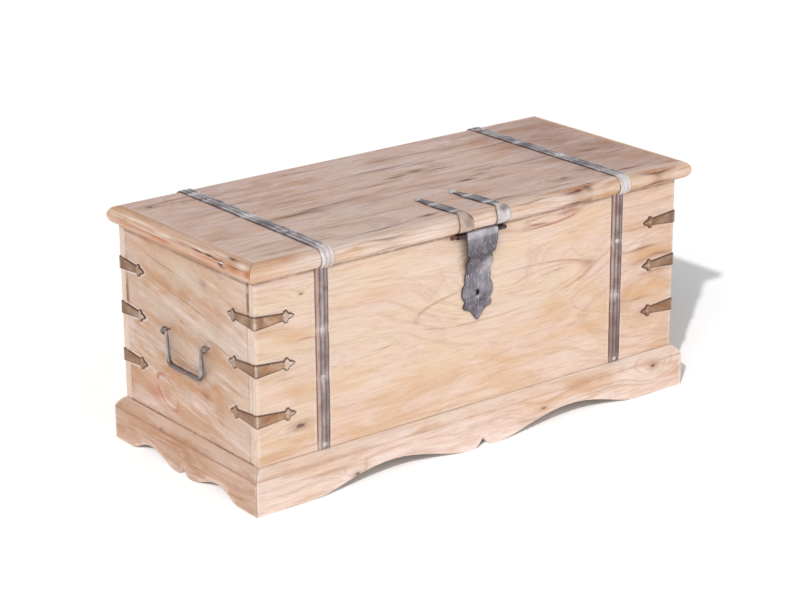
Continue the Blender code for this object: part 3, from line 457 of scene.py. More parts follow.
brackets = {
    "arm": 0.072, "halfWidth": 0.0105, "thickness": 0.0016, "rim": 0.00035, "fineness": 7, "grid": 0.003,
    "dents": 0.00014, "edge": 0.95,
    "bend": 0.0011,   # inner radius of the fold round the corner
    "heights": {"lower": 0.148, "middle": 0.2295, "upper": 0.3055},
    "head": 0.79, "nailSeat": 0.0005,   # where the nail sits along the arm, and how deep
    "tilt": 0.0036,   # how crookedly one may be nailed on
    # Shares of the arm and of the half width, up to the trefoil at the tip
    "edges": (
        (0.72, 0.54, "corner"), (0.755, 0.90, "round"), (0.805, 0.97, "round"), (0.845, 0.70, "round"),
        (0.865, 0.44, "corner"), (0.925, 0.34, "round"), (0.975, 0.20, "round")),
    # The same outline, roughly, for the wash round it and the painted shadow beside it
    "outline": ((0.0, 1.0), (0.72, 0.56), (0.76, 0.95), (0.82, 0.95), (0.86, 0.50), (0.93, 0.34), (1.0, 0.0)),
}


def bracketGap(work, axis, half, through, depth):
    # How far a point of an outer face lies outside the outline of its corner brackets
    along = half - abs(reading(work, axis))
    near = 1.0
    for height in brackets["heights"].values():
        near = work.calc("MINIMUM", abs(reading(work, "z") - height), near)
    aside = near - work.ramp(along / brackets["arm"], *brackets["outline"]) * brackets["halfWidth"]
    inside = work.calc("LESS_THAN", abs(reading(work, through)), depth - 4 * mm)
    return work.most(aside, along - brackets["arm"]) + inside


def bracketFringe(*face):
    def mask(work):
        return 1.0 - work.step(bracketGap(work, *face), 2.2 * mm, 5 * mm)
    return mask


# A thin painted shadow on the board, just outside the outline of the brackets
def bracketShade(*face):
    def mark(work, below):
        near = 1.0 - work.step(bracketGap(work, *face), 0.4 * mm, 1.6 * mm)
        return work.mix(near * 0.75, below, (108, 76, 58))
    return mark


bands = {"width": 0.025, "thickness": 0.0026, "reed": 0.001, "left": -0.308, "right": 0.298}
alongFront = ("x", chest["halfLength"], "y", chest["halfDepth"])
alongEnd = ("y", chest["halfDepth"], "x", chest["halfLength"])
fringes = [
    bandFringe(bands["left"], 0.0145, 0.018), bandFringe(bands["right"], 0.0145, 0.0175),
    bracketFringe(*alongFront)]

# One look for each board: colours as picked on a screen, shares from 0 to 1, places in millimetres.
# turn names the axes along the board, across it and into it; a knot is along, across, heart, reach,
# stretch and lift.
plank = {
    "turn": "xzy", "lean": 0.0, "short": 1.0, "ring": 9, "drift": 30, "rings": 0.4, "lines": 0.34,
    "fibres": 0.16, "pores": 0.25, "flecks": 0.3, "patches": 0.75, "streaks": 0.55, "stains": 0.35,
    "stainLevel": (0.57, 0.74), "wash": 0.35, "washed": 0.75, "edge": 1.0, "knot": (140, 92, 70), "knots": (),
    "grades": (), "marks": (), "fringes": (), "light": (238, 210, 188), "warm": (229, 191, 158),
    "orange": (222, 172, 128), "pink": (240, 214, 202), "deep": (186, 134, 98), "stain": (138, 86, 62),
    "white": (250, 233, 223),
}
front = dict(plank, light=(240, 215, 188), warm=(235, 201, 163), orange=(224, 176, 130), pink=(241, 213, 199),
    white=(247, 227, 212), rings=0.3, lines=0.24, fibres=0.12, streaks=0.5, pores=0.16, flecks=0.16, stains=0.2,
    wash=0.26, washed=0.6)
end = dict(plank, turn="yzx", short=1.5, light=(219, 184, 154), warm=(204, 155, 114), orange=(194, 138, 94),
    pink=(222, 196, 180), deep=(168, 118, 86), white=(246, 224, 212), fringes=[bracketFringe(*alongEnd)],
    wash=0.3, streaks=0.7)
base = dict(plank, light=(240, 210, 190), warm=(232, 194, 164), pink=(243, 217, 205), wash=0.42)
lid = dict(plank, turn="xyz", short=1.7, ring=7, rings=0.3, lines=0.3, fibres=0.2, pores=0.32, flecks=0.34,
    streaks=0.6, stains=0.6, stainLevel=(0.52, 0.68), wash=0.34, washed=0.7, edge=0.5, light=(238, 206, 186),
    warm=(228, 186, 160), orange=(224, 172, 136), pink=(238, 208, 200), deep=(180, 134, 112),
    stain=(128, 88, 72), white=(250, 228, 220), knot=(112, 74, 60))
nose = dict(plank, turn="xyz", ring=5, drift=15, lines=0.3, wash=0.5, edge=0.0, light=(240, 212, 190),
    warm=(230, 190, 152), orange=(220, 168, 118), pink=(240, 214, 200))
noseLeft = dict(nose, turn="yxz", light=(236, 194, 162), warm=(226, 172, 132), orange=(208, 142, 96),
    pink=(238, 202, 182), deep=(164, 108, 72), stain=(104, 62, 42), white=(248, 224, 200), knot=(84, 46, 34),
    wash=0.25)
# Painted shade under the lid's overhang, along the top of the panels and the ends
underLid = lineMark("z", 367.5, 3.6, (126, 92, 72), 0.6)
underLidEnd = lineMark("z", 363.5, 4.2, (126, 92, 72), 0.6)
abovePlinth = lineMark("z", chest["plinthTop"] / mm, 2, (158, 118, 92), 0.55)
lidGrades = (gradeMark("x", 180, 320, (160, 106, 84), 0.9), gradeMark("x", -200, -360, (246, 208, 184), 0.75),
    gradeMark("y", 0, 180, (222, 184, 166), 0.4))
lidRight = gradeMark("x", 200, 300, (146, 98, 82), 0.42)
boardLooks = {
    "frontPanel": dict(front, seed=3.1, pith=(0, 255, -30), ring=11, rings=0.22, drift=45, fringes=fringes,
        knot=(122, 96, 88),
        knots=((-351, 123, 3.2, 18, 0.36, 12), (60, 250, 1, 60, 0.28, 35), (150, 352, 1, 18, 0.25, 20),
            (-345, 335, 1.2, 12, 0.5, 8)),
        grades=(gradeMark("z", 200, 340, (244, 221, 204), 0.75), gradeMark("x", 50, 240, (232, 192, 162), 0.45),
            gradeMark("x", 240, 420, (198, 150, 112), 0.9), gradeMark("z", 280, 160, (232, 196, 168), 0.5),
            gradeMark("z", 170, 90, (228, 184, 148), 0.5)),
        marks=(underLid, abovePlinth, bracketShade(*alongFront),
            # Painted shade behind the hasp plate, in the dark corner beside its knuckle under the lid, and seen
            # through its slot
            shadeMark(-15, 318, 30, 58, (156, 120, 100), 0.65), shadeMark(-26, 363, 16, 9, (70, 48, 40), 0.9),
            shadeMark(-3, 264, 9, 11, (38, 26, 22), 1.0, 0.5),
            loopMark(59, 248, 190, 33, 0.045, 1.4, (184, 132, 102), 0.6),
            loopMark(150, 254, 80, 18, 0.06, 1.3, (196, 142, 114), 0.32),
            loopMark(145, 354, 66, 8.5, 0.05, 1.6, (180, 110, 88), 0.75),
            loopMark(40, 240, 280, 58, 0.045, 1.5, (204, 156, 124), 0.15),
            streakMarks(((125, 349, 30, 3, 0.8), (185, 360, 20, 3, 0.6), (240, 262, 16, 6, 0.5),
                (160, 262, 20, 2.2, 0.6), (381, 147, 30, 8, 0.6), (360, 240, 30, 5, 0.5),
                (-335, 262, 24, 1.8, 0.5), (-372, 205, 20, 1.6, 0.4), (-180, 212, 28, 1.6, 0.5)),
                (164, 104, 78)),
            streakMarks(((375, 250, 45, 10, 0.8), (360, 188, 50, 10, 0.7), (380, 300, 40, 8, 0.5),
                (-360, 270, 40, 10, 0.6), (-360, 180, 40, 12, 0.6), (160, 200, 30, 20, 0.5),
                (-100, 130, 90, 10, 0.5), (220, 150, 60, 12, 0.5), (-200, 300, 70, 12, 0.4)), (222, 172, 122),
                30),
            streakMarks(((360, 262, 40, 2.6, 0.9), (390, 216, 30, 2.6, 0.7), (350, 300, 40, 2, 0.5),
                (400, 244, 25, 3, 0.8), (345, 175, 30, 2, 0.6)), (158, 108, 76), 12))),
    "backPanel": dict(front, seed=53.2, pith=(0, 180, 30), ring=10, drift=45,
        marks=(underLid, abovePlinth, bracketShade(*alongFront)),
        knots=((210, 260, 4.8, 24, 0.55, 20), (-120, 160, 1, 55, 0.3, 30))),
    "leftEnd": dict(end, seed=7.7, pith=(0, 200, 45), lean=-0.15, lines=0.13, rings=0.16, fibres=0.12,
        streaks=0.45, patches=0.85, knot=(196, 142, 126),
        knots=((-2.7, 335.9, 2.6, 22, 0.6, 14), (-27.3, 153.7, 2.4, 18, 0.6, 12)),
        grades=(gradeMark("z", 200, 90, (226, 182, 158), 0.5), gradeMark("y", 60, 170, (206, 156, 120), 0.55),
            gradeMark("z", 300, 370, (208, 158, 120), 0.55), gradeMark("y", -80, -160, (250, 228, 208), 0.85)),
        marks=(underLidEnd, bracketShade(*alongEnd),
            lineMark("z", chest["plinthTop"] / mm + 0.5, 4, (150, 96, 72), 0.8),
            loopMark(79.2, 109.4, 34, 20, 0.5, 2.4, (180, 112, 84), 0.8),
            streakMarks(((115, 91.8, 24, 10, 0.9), (85, 102, 14, 6, 0.6)), (200, 132, 102), 10),
            lineMark("y", -170, 2.4, (160, 116, 92), 0.35),
            lineMark("y", -174, 4.4, (126, 78, 60), 0.9, ("z", 312, 371)),
            lineMark("y", 170, 2.4, (150, 112, 92), 0.35),
            lineMark("y", 173, 8, (138, 96, 82), 0.9, ("z", 243, 292)),
            streakMarks(((100, 290, 60, 10, 0.6), (-20, 300, 70, 12, 0.6), (80, 225, 80, 12, 0.5),
                (-90, 235, 60, 12, 0.5), (160, 345, 50, 10, 0.6), (20, 150, 70, 12, 0.5),
                (-100, 330, 40, 8, 0.5)), (196, 138, 96), 30),
            streakMarks(((50, 330, 60, 20, 0.7), (-50, 265, 60, 22, 0.7), (130, 250, 50, 16, 0.5),
                (0, 205, 70, 16, 0.5)), (224, 206, 188), 30),
            streakMarks(((20, 285, 60, 1.6, 0.6), (-60, 250, 50, 1.4, 0.6), (110, 320, 40, 1.6, 0.6),
                (60, 190, 60, 1.4, 0.5), (-100, 200, 40, 1.6, 0.5)), (156, 104, 78)))),
    "rightEnd": dict(end, seed=58.3, pith=(0, 220, -45),
        marks=(underLidEnd, abovePlinth, bracketShade(*alongEnd)), knots=((60, 270, 3.6, 22, 0.5, 14),)),
    "plinthFront": dict(base, seed=12.3, knot=(150, 96, 66), pith=(0, 30, 35),
        grades=(gradeMark("x", 160, 400, (216, 174, 146), 0.7),),
        knots=((378, 50.7, 3, 26, 0.6, 22), (130, 35, 1.4, 20, 0.4, 8), (-255, 22, 2.2, 20, 0.5, 12)),
        # A painted highlight along the plinth's rounded top edge, and painted shade along its foot
        marks=(gradeMark("z", 60, 69, (250, 228, 210), 0.6), lineMark("z", 58, 2.2, (196, 146, 112), 0.45),
            streakMarks(((-300, 40, 50, 4, 0.5), (100, 22, 40, 3, 0.5), (270, 36, 30, 3, 0.4)),
                (176, 124, 92)))),
    "plinthBack": dict(base, seed=63.1, pith=(0, 40, 30), knots=((-160, 45, 4, 24, 0.6, 20),)),
    "lidFront": dict(lid, seed=21.4, pith=(0, -130, 340),
        grades=lidGrades + (gradeMark("x", 0, -200, (255, 232, 212), 1.0),),
        knots=((-84.3, -168.3, 2.6, 16, 0.4, 10), (215, -150, 2.4, 20, 0.4, 12)),
        marks=(lidRight,
            streakMarks(((-230, -126, 22, 3.5, 0.8), (424, -190, 40, 6, 0.8), (234, -115, 25, 3, 0.6),
                (400, -130, 50, 10, 0.5), (-320, -150, 50, 10, 0.4)), (190, 132, 96)),
            streakMarks(((-180, -178, 45, 2, 0.9), (-84.3, -168, 18, 2.2, 0.9), (61, -172, 30, 2.2, 0.9),
                (334, -171, 25, 3.5, 1.0), (274, -132, 14, 2.4, 0.9), (-370, -130, 30, 1.6, 0.7),
                (20, -128, 50, 1.4, 0.7), (-130, -112, 60, 1.4, 0.6), (180, -176, 30, 2, 0.7)),
                (108, 70, 56)))),
    "lidMiddle": dict(lid, seed=26.9, pith=(0, -30, 335), grades=lidGrades,
        knots=((-135, -87, 2.4, 22, 0.3, 14), (85, -56, 2.6, 20, 0.4, 12)),
        marks=(lidRight,
            streakMarks(((-243, -40, 50, 7.5, 0.9), (133, -72, 35, 6, 0.7), (-81, -86, 40, 4, 0.8),
                (369, -47, 35, 7, 0.9), (0, -30, 60, 7, 0.5), (440, -30, 50, 10, 0.6)), (176, 124, 88)),
            streakMarks(((-243, -37, 45, 3.6, 1.0), (-204, -29, 30, 3, 0.9), (-135, -87, 18, 3, 1.0),
                (-240, -82, 50, 1.6, 0.8), (-360, -84, 14, 2.2, 1.0), (85, -56, 18, 3.4, 1.0),
                (119, -44, 25, 2, 0.8), (41, -58, 45, 1.6, 0.7), (360, -50, 18, 3, 0.9),
                (387, -79, 45, 1.4, 0.8), (329, -65, 30, 1.4, 0.6)), (104, 66, 52)),
            streakMarks(((-135, -27, 60, 4.5, 0.9), (175, -27, 60, 1.8, 0.9), (239, -32, 50, 3, 0.9),
                (-20, -50, 70, 1.6, 0.8), (127, -8, 50, 2, 0.7)), (158, 124, 120)))),
    "lidRear": dict(lid, seed=31.5, pith=(0, 70, 350), grades=lidGrades, knots=((52, 37, 2.6, 18, 0.5, 10),),
        marks=(lidRight,
            streakMarks(((-49, 14, 60, 6.5, 0.8), (-209, 26, 45, 4.5, 0.8), (52, 37, 50, 9, 0.6),
                (300, 50, 60, 10, 0.5), (-350, 50, 60, 9, 0.4)), (186, 136, 98)),
            streakMarks(((3, 29, 22, 3.2, 1.0), (52, 37, 16, 3, 1.0), (86, 25, 25, 3, 0.9),
                (245, 80, 60, 2, 0.9), (-150, 50, 50, 1.4, 0.6), (350, 20, 50, 1.6, 0.6)), (112, 72, 58)),
            streakMarks(((87, 68, 80, 2, 0.9), (8, 80, 60, 4.5, 0.9), (-280, 70, 60, 2, 0.7)),
                (164, 130, 126)))),
    "lidBack": dict(lid, seed=37.2, pith=(0, 150, 345), grades=lidGrades,
        knots=((-399.8, 142, 3.4, 26, 0.6, 20),),
        marks=(lidRight,
            streakMarks(((48, 122, 35, 7, 0.8), (187, 109, 35, 7, 0.8), (333, 136, 35, 7, 0.9),
                (-250, 130, 50, 6, 0.5)), (178, 130, 100)),
            streakMarks(((-360, 150, 45, 3, 0.7), (-100, 150, 80, 1.6, 0.6), (150, 120, 60, 2, 0.7)),
                (112, 80, 72)))),
    "nosingFront": dict(nose, seed=41.8, pith=(0, -200, 365), knots=((196, -205, 2.4, 18, 0.3, 12),),
        marks=(streakMarks(((190, -200, 45, 4.5, 0.8), (150, -198, 30, 4, 0.7), (370, -203, 50, 5, 0.9),
            (270, -206, 30, 3, 0.6), (-20, -204, 50, 2, 0.5), (-390, -200, 40, 6, 0.7)), (196, 132, 88)),
            streakMarks(((217, -203, 10, 4, 1.0), (225, -196, 12, 1.6, 1.0), (188, -206, 28, 1.6, 0.9),
                (370, -206, 35, 1.8, 0.9), (100, -205, 40, 1.2, 0.6), (-200, -206, 50, 1.2, 0.6)),
                (112, 70, 52)), gradeMark("x", -330, -440, (224, 170, 120), 0.8))),
    "nosingBack": dict(lid, seed=73.9, pith=(0, 190, 365), knots=((-110, 185, 2.6, 16, 0.4, 12),)),
    "nosingLeft": dict(noseLeft, seed=46.6, pith=(0, -440, 370),
        marks=(onSide(streakMarks(((32, 385, 30, 3.5, 0.8), (-162, 389, 22, 7, 0.9), (-205, 391, 14, 8, 0.9),
            (120, 386, 50, 3, 0.6), (-100, 388.5, 30, 2.6, 0.7), (-30, 380, 50, 3, 0.5)), (198, 118, 70), 3)),
            onSide(streakMarks(((28, 394.5, 26, 1.8, 1.0), (110, 397.5, 50, 1.2, 0.9), (-70, 397, 30, 1.2, 0.9),
                (-186, 397.5, 14, 2.6, 0.9), (-125, 400, 30, 1.2, 0.8), (60, 390, 60, 0.8, 0.6),
                (-50, 383, 50, 0.8, 0.5)), (255, 240, 224), 2)),
            onSide(streakMarks(((-70, 393.6, 20, 0.9, 1.4), (-100, 394, 12, 1.2, 1.5),
                (-118, 393, 10, 0.9, 1.3), (-29, 393, 14, 0.7, 1.0), (-133, 390, 6, 4, 1.5),
                (-137, 385, 8, 1.4, 1.2), (-156, 400.5, 12, 1, 1.2), (-170, 392, 18, 0.8, 0.8),
                (70, 388, 50, 0.7, 0.7), (140, 390, 30, 0.7, 0.6)), (78, 42, 30), 1.6)),
            onSide(streakMarks(((-134, 391.2, 5, 0.9, 1.5),), (255, 248, 238), 1)))),
    "nosingRight": dict(noseLeft, seed=78.5, pith=(0, 440, 370), knots=((70, 444, 2.6, 18, 0.35, 12),)),
    "plinthLeft": dict(base, turn="yzx", short=1.4, seed=16.1, pith=(0, 15, 30), streaks=0.7, wash=0.15,
        knots=((65.5, 57.5, 1.4, 14, 0.7, 6),),
        # A painted highlight along the plinth's rounded top edge, and painted shade along its foot
        marks=(gradeMark("z", 58.5, 68, (238, 210, 188), 0.75), lineMark("z", 56, 2.8, (160, 106, 74), 0.6)),
        light=(214, 174, 146), warm=(200, 152, 116), orange=(184, 130, 90), pink=(222, 190, 172),
        deep=(156, 110, 82), white=(240, 214, 198), grades=(gradeMark("y", -40, -190, (238, 208, 190), 0.7),)),
}
boardLooks["plinthRight"] = dict(boardLooks["plinthLeft"], seed=68.4, knots=((-40, 50, 3, 20, 0.5, 12),))
boardLooks["inside"] = dict(end, seed=83.0, pith=(0, 200, 45), wash=0.0, stains=0.2, edge=0.3,
    light=(226, 192, 158), warm=(214, 172, 132), orange=(204, 154, 110), pink=(226, 192, 162),
    deep=(166, 120, 84), stain=(120, 80, 58))
boardLooks["insideAlong"] = dict(boardLooks["inside"], turn="xyz", short=1.0, seed=87.0)
woods = {name: makeWood(f"{name}Wood", look) for name, look in boardLooks.items()}
stage(f"{len(woods)} wood materials ready")

boardWoods = {
    "front_panel": "frontPanel", "back_panel": "backPanel", "left_end_panel": "leftEnd",
    "right_end_panel": "rightEnd", "plinth_front": "plinthFront", "plinth_back": "plinthBack",
    "plinth_left": "plinthLeft", "plinth_right": "plinthRight", "lid_board_1": "lidFront",
    "lid_board_2": "lidMiddle", "lid_board_3": "lidRear", "lid_board_4": "lidBack",
    "lid_nosing_front": "nosingFront", "lid_nosing_back": "nosingBack",
    "lid_nosing_left": "nosingLeft", "lid_nosing_right": "nosingRight",
}
hiddenWoods = {
    "insideAlong": ("bottom_board", "bottom_cleat_front", "bottom_cleat_back"),
    "inside": ("foot_block_front_left", "foot_block_front_right", "foot_block_back_left",
               "foot_block_back_right", "lid_batten_left", "lid_batten_right"),
}


# The same for metal, and how far rust takes the shine away
metalSurface = {
    "rustRough": 0.2, "cloudRough": -0.08, "rustMetal": 0.4, "relief": 0.6, "Pits": -0.35, "Scratches": -0.15,
}


def makeIron(name, look):
    material, work, shader = newMaterial(name)
    work.read = work.place = work.flow("ShaderNodeTexCoord", out="Object")
    if look["turn"] == "arm":
        # Up the corner, and outwards along either arm of a bracket
        place = work.join(reading(work, "z"), 0.0, abs(reading(work, "x")) + abs(reading(work, "y")))
    else:
        place = work.join(*(reading(work, letter) for letter in look["turn"]))
    worn = work.group(ironGroup, Place=place, Seed=look["seed"])
    colour = work.mix(worn["Cloud"], look["dark"], look["mid"])
    colour = work.mix(worn["Rust"] * look["rust"], colour, look["brown"])
    if "rosy" in look:
        colour = work.mix(rubbed(work, "warm") * look["flush"], colour, look["rosy"])
    clouded = worn["Cloud"] * look["patchy"] + (1.1 - look["patchy"])
    # rub lightens and low darkens: wear, with the painted highlights and painted shade that the pieces store
    shine = rubbed(work) * look["rub"] + worn["Scratches"] * look["scratch"]
    colour = work.mix(work.calc("MULTIPLY", shine, clouded, clamp=True), colour, look["bright"])
    # Specks: painted glints
    colour = work.mix(worn["Specks"] * look["specks"], colour, look["bright"])
    colour = work.mix(rubbed(work, "low") * look["groove"], colour, look["black"])
    colour = work.mix(worn["Pits"] * look["pits"], colour, look["pit"])
    for tint in look["tints"]:
        colour = tint(work, colour)
    work.plug(shader.inputs["Base Color"], colour)
    share = metalSurface
    metallic = work.calc("SUBTRACT", look["metal"], worn["Rust"] * share["rustMetal"], clamp=True)
    work.plug(shader.inputs["Metallic"], metallic)
    rough = look["rough"] + worn["Rust"] * share["rustRough"] + worn["Cloud"] * share["cloudRough"]
    work.plug(shader.inputs["Roughness"], rough)
    height = worn["Beaten"] * look["beaten"]
    for title in ("Pits", "Scratches"):
        height = height + worn[title] * share[title]
    relief(work, shader, height, share["relief"])
    return material


# One look for each metal: turn says which way its scratches run; what a look leaves out is as here
plainMetal = {
    "turn": "xyz", "patchy": 0.5, "specks": 0.15, "tints": (), "rust": 0.45, "rub": 0.85, "scratch": 0.5,
    "groove": 0.95, "pits": 0.4, "metal": 0.4, "rough": 0.42, "beaten": 0.6,
}
ironLooks = {
    "band": dict(seed=2.0,
        tints=(gradeMark("x", 200, 0, (190, 172, 168), 0.22), gradeMark("x", 0, 200, (112, 86, 80), 0.12),
            onSide(shadeMark(298, 110, 50, 100, (104, 78, 72), 0.5, 0.3))), patchy=0.9, dark=(128, 110, 110),
        mid=(178, 160, 158), brown=(142, 102, 88), bright=(218, 206, 204), black=(74, 50, 46), pit=(78, 58, 54),
        rust=0.7, rub=0.72, scratch=0.35, pits=0.45, flush=0.9, rosy=(206, 160, 138)),
    "lidBand": dict(seed=5.0, turn="xzy", patchy=1.1, dark=(90, 78, 84), mid=(166, 152, 154),
        brown=(122, 98, 94), bright=(236, 230, 232), black=(52, 42, 48), pit=(66, 54, 56), scratch=0.45,
        pits=0.45, rough=0.38, flush=1.0, rosy=(222, 205, 199)),
    "hasp": dict(seed=9.0, specks=0.6, dark=(76, 68, 76), mid=(118, 110, 120), brown=(112, 92, 90),
        bright=(214, 210, 218), black=(52, 44, 50), pit=(74, 66, 74), rust=0.4, rub=0.75, scratch=0.95,
        pits=0.65, metal=0.45, beaten=1.0),
    "strapLeft": dict(seed=13.0, turn="xzy", dark=(76, 66, 74), mid=(122, 110, 116), brown=(120, 94, 84),
        bright=(244, 238, 236), black=(60, 48, 54), pit=(78, 66, 68), rub=0.7, groove=1.0, pits=0.5, beaten=0.8,
        flush=1.0, rosy=(194, 158, 130)),
    "strapRight": dict(seed=17.0, turn="xzy", specks=0.4, dark=(70, 62, 74), mid=(118, 110, 122),
        brown=(110, 86, 84), bright=(248, 246, 246), black=(54, 44, 52), pit=(74, 62, 66), rub=0.75, groove=1.0,
        pits=0.6, rough=0.4, beaten=0.8, flush=1.0, rosy=(212, 196, 188)),
    "brass": dict(seed=23.0, turn="arm",
        # The first tint is painted shade: it darkens all but the outer faces of the front arms
        tints=(gradeMark("y", -191.5, -190.5, (106, 66, 42), 0.8), gradeMark("x", 100, 420, (94, 60, 44), 0.8),
            gradeMark("z", 190, 150, (166, 112, 70), 0.45)), dark=(148, 102, 66), mid=(196, 156, 118),
        brown=(150, 96, 62), bright=(238, 220, 206), black=(78, 48, 36), pit=(104, 72, 54), rust=0.65,
        scratch=0.4, groove=1.0, metal=0.3, rough=0.45, beaten=0.7),
    "pin": dict(seed=29.0, dark=(84, 44, 30), mid=(116, 64, 44), brown=(110, 52, 34), bright=(150, 104, 84),
        black=(60, 38, 32), pit=(70, 44, 36), rust=0.6, rub=0.5, scratch=0.2, groove=0.6, pits=0.3, rough=0.45,
        beaten=0.5),
    "handle": dict(seed=33.0, flush=1.0, rosy=(88, 50, 40), dark=(108, 98, 100), mid=(144, 132, 133),
        brown=(86, 52, 44), bright=(214, 210, 208), black=(74, 52, 48), pit=(84, 66, 62), rust=0.35, rub=0.8,
        scratch=0.3, groove=0.8, pits=0.3, metal=0.6, rough=0.34),
    "nail": dict(seed=37.0, dark=(150, 140, 136), mid=(190, 182, 178), brown=(130, 106, 96),
        bright=(230, 226, 222), black=(84, 68, 64), pit=(100, 84, 78), rust=0.35, rub=0.8, scratch=0.2,
        groove=0.8, rough=0.4, beaten=0.8),
    "hinge": dict(seed=43.0, dark=(110, 104, 104), mid=(144, 138, 138), brown=(104, 78, 66),
        bright=(196, 190, 188), black=(66, 54, 52), pit=(80, 68, 66), rust=0.5, rub=0.6, scratch=0.3,
        groove=0.8, metal=0.6, rough=0.4, beaten=0.5),
}
irons = {name: makeIron(f"{name}Iron", {**plainMetal, **look}) for name, look in ironLooks.items()}
stage(f"{len(irons)} metal materials ready")


# Meshes; lengths in metres
def give(item, material):
    item.data.materials.clear()
    item.data.materials.append(material)


def newItem(name, data):
    item = bpy.data.objects.new(name, data)
    scene.collection.objects.link(item)
    return item


def evaluated(item):
    return bpy.data.meshes.new_from_object(item.evaluated_get(bpy.context.evaluated_depsgraph_get()))


def settle(item):
    # What the modifiers make of an item becomes its own mesh
    mesh = evaluated(item)
    item.modifiers.clear()
    item.data = mesh
    return mesh


def standFor(item, node, body):
    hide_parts(node)
    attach(item, body)


def storeValues(mesh, name, values):
    layer = mesh.attributes.new(name, "FLOAT", "POINT")
    layer.data.foreach_set("value", values)


def finishMesh(work, name, material, wear=(), angle=50):
    # wear gives every vertex its rub, and on metal its low and its warm; on metal the rub also holds painted
    # highlights and the low painted shade
    mesh = bpy.data.meshes.new(name)
    bmesh.ops.recalc_face_normals(work, faces=work.faces)
    work.to_mesh(mesh)
    work.free()
    for title, values in zip(("rub", "low", "warm"), zip(*wear)):
        storeValues(mesh, title, [held(value) for value in values])
    mesh.shade_smooth()
    mesh.set_sharp_from_angle(angle=radians(angle))
    mesh.materials.append(material)
    return newItem(name, mesh)


def held(value):
    return min(1.0, max(0.0, value))


def bell(far, width):
    return exp(-((far / width) ** 2))


def smooth(value, low, high):
    share = held((value - low) / (high - low))
    return share * share * (3 - 2 * share)


def wobble(along, seed, rate):
    return noise.noise(Vector((along * rate, seed, seed * 0.37)))


def fractal(place):
    return noise.fractal(place, 0.9, 2.1, 3)


def angles(count):
    return [2 * pi * step / count for step in range(count)]


def nearby(places):
    tree = kdtree.KDTree(len(places))
    for number, place in enumerate(places):
        tree.insert(place, number)
    tree.balance()
    return tree


weld = 0.00001   # metres: vertices nearer than this become one


def cutAcross(work, axis, spacing, rims=()):
    values = [vertex.co[axis] for vertex in work.verts]
    low, high = min(values), max(values)
    steps = max(1, round((high - low) / spacing))
    normal = Vector(float(axis == other) for other in range(3))
    cuts = [low + (high - low) * step / steps for step in range(1, steps)]
    cuts += [low + rim for rim in rims] + [high - rim for rim in rims]
    for cut in cuts:
        geometry = list(work.verts) + list(work.edges) + list(work.faces)
        bmesh.ops.bisect_plane(work, geom=geometry, plane_co=normal * cut, plane_no=normal, dist=weld)


# Boards: a worn copy of each solid, with softened, slightly dented edges
boards = {
    "spacing": 0.007,          # between the cuts along a board
    "across": 0.016,           # between those the other ways
    "least": 0.03,             # a board thinner than this is not cut that way
    "rims": (0.0026, 0.0055),  # extra cuts near the ends and edges
    "sway": 0.00022,           # how uneven a planed face is
    "eased": 0.00012,          # how far every edge is taken down
    "dents": 0.0011,           # how deep an edge is bruised
    "rubReach": 0.0034,        # how far the rubbed rim reaches in
    "rates": (23, 61, 7),      # how closely rub, chips and sway follow each other, per metre
    "crease": 28,              # degrees
}


def sharpPlaces(work, angle, spacing=0.002):
    places = []
    for edge in work.edges:
        if len(edge.link_faces) == 2 and edge.calc_face_angle(0) > angle:
            first, last = (vertex.co for vertex in edge.verts)
            steps = max(1, ceil((last - first).length / spacing))
            places += [first.lerp(last, step / steps) for step in range(steps + 1)]
    return nearby(places)


def wornBoard(node, material, seed):
    work = bmesh.new()
    work.from_mesh(nodes[node].data)
    bmesh.ops.remove_doubles(work, verts=work.verts, dist=weld)
    bmesh.ops.dissolve_limit(
        work, angle_limit=radians(0.6), verts=work.verts, edges=work.edges, delimit={"NORMAL"})
    tree = sharpPlaces(work, radians(boards["crease"]))
    spans = [max(values) - min(values) for values in zip(*(vertex.co for vertex in work.verts))]
    for axis, span in enumerate(spans):
        if span > boards["least"]:
            cutAcross(work, axis, boards["spacing" if span == max(spans) else "across"], boards["rims"])
    bmesh.ops.triangulate(work, faces=work.faces)
    work.normal_update()
    shift = Vector((seed, seed * 1.7, seed * 0.6))
    rubRate, chipRate, swayRate = boards["rates"]
    wear, moves = [], []
    for vertex in work.verts:
        near = bell(tree.find(vertex.co)[2], boards["rubReach"])
        uneven = noise.noise(vertex.co * rubRate + shift) * 0.5 + 0.5
        chip = max(0.0, noise.noise(vertex.co * chipRate + shift * 2)) ** 1.5
        sway = max(0.0, (0.6 - noise.noise(vertex.co * swayRate + shift)) * 0.5)
        depth = boards["sway"] * sway + near * (boards["eased"] + boards["dents"] * chip * uneven)
        moves.append(-vertex.normal * depth)
        wear.append([near * (0.35 + 0.9 * uneven)])
    for vertex, move in zip(work.verts, moves):
        vertex.co += move
    return finishMesh(work, f"{node}_worn", material, wear, boards["crease"])


for number, (node, wood) in enumerate(boardWoods.items()):
    item = wornBoard(node, woods[wood], 3.7 + number * 5.3)
    standFor(item, node, "lid" if node.startswith("lid") else "chest")
for wood, names in hiddenWoods.items():
    for name in names:
        give(nodes[name], woods[wood])
stage("boards ready")


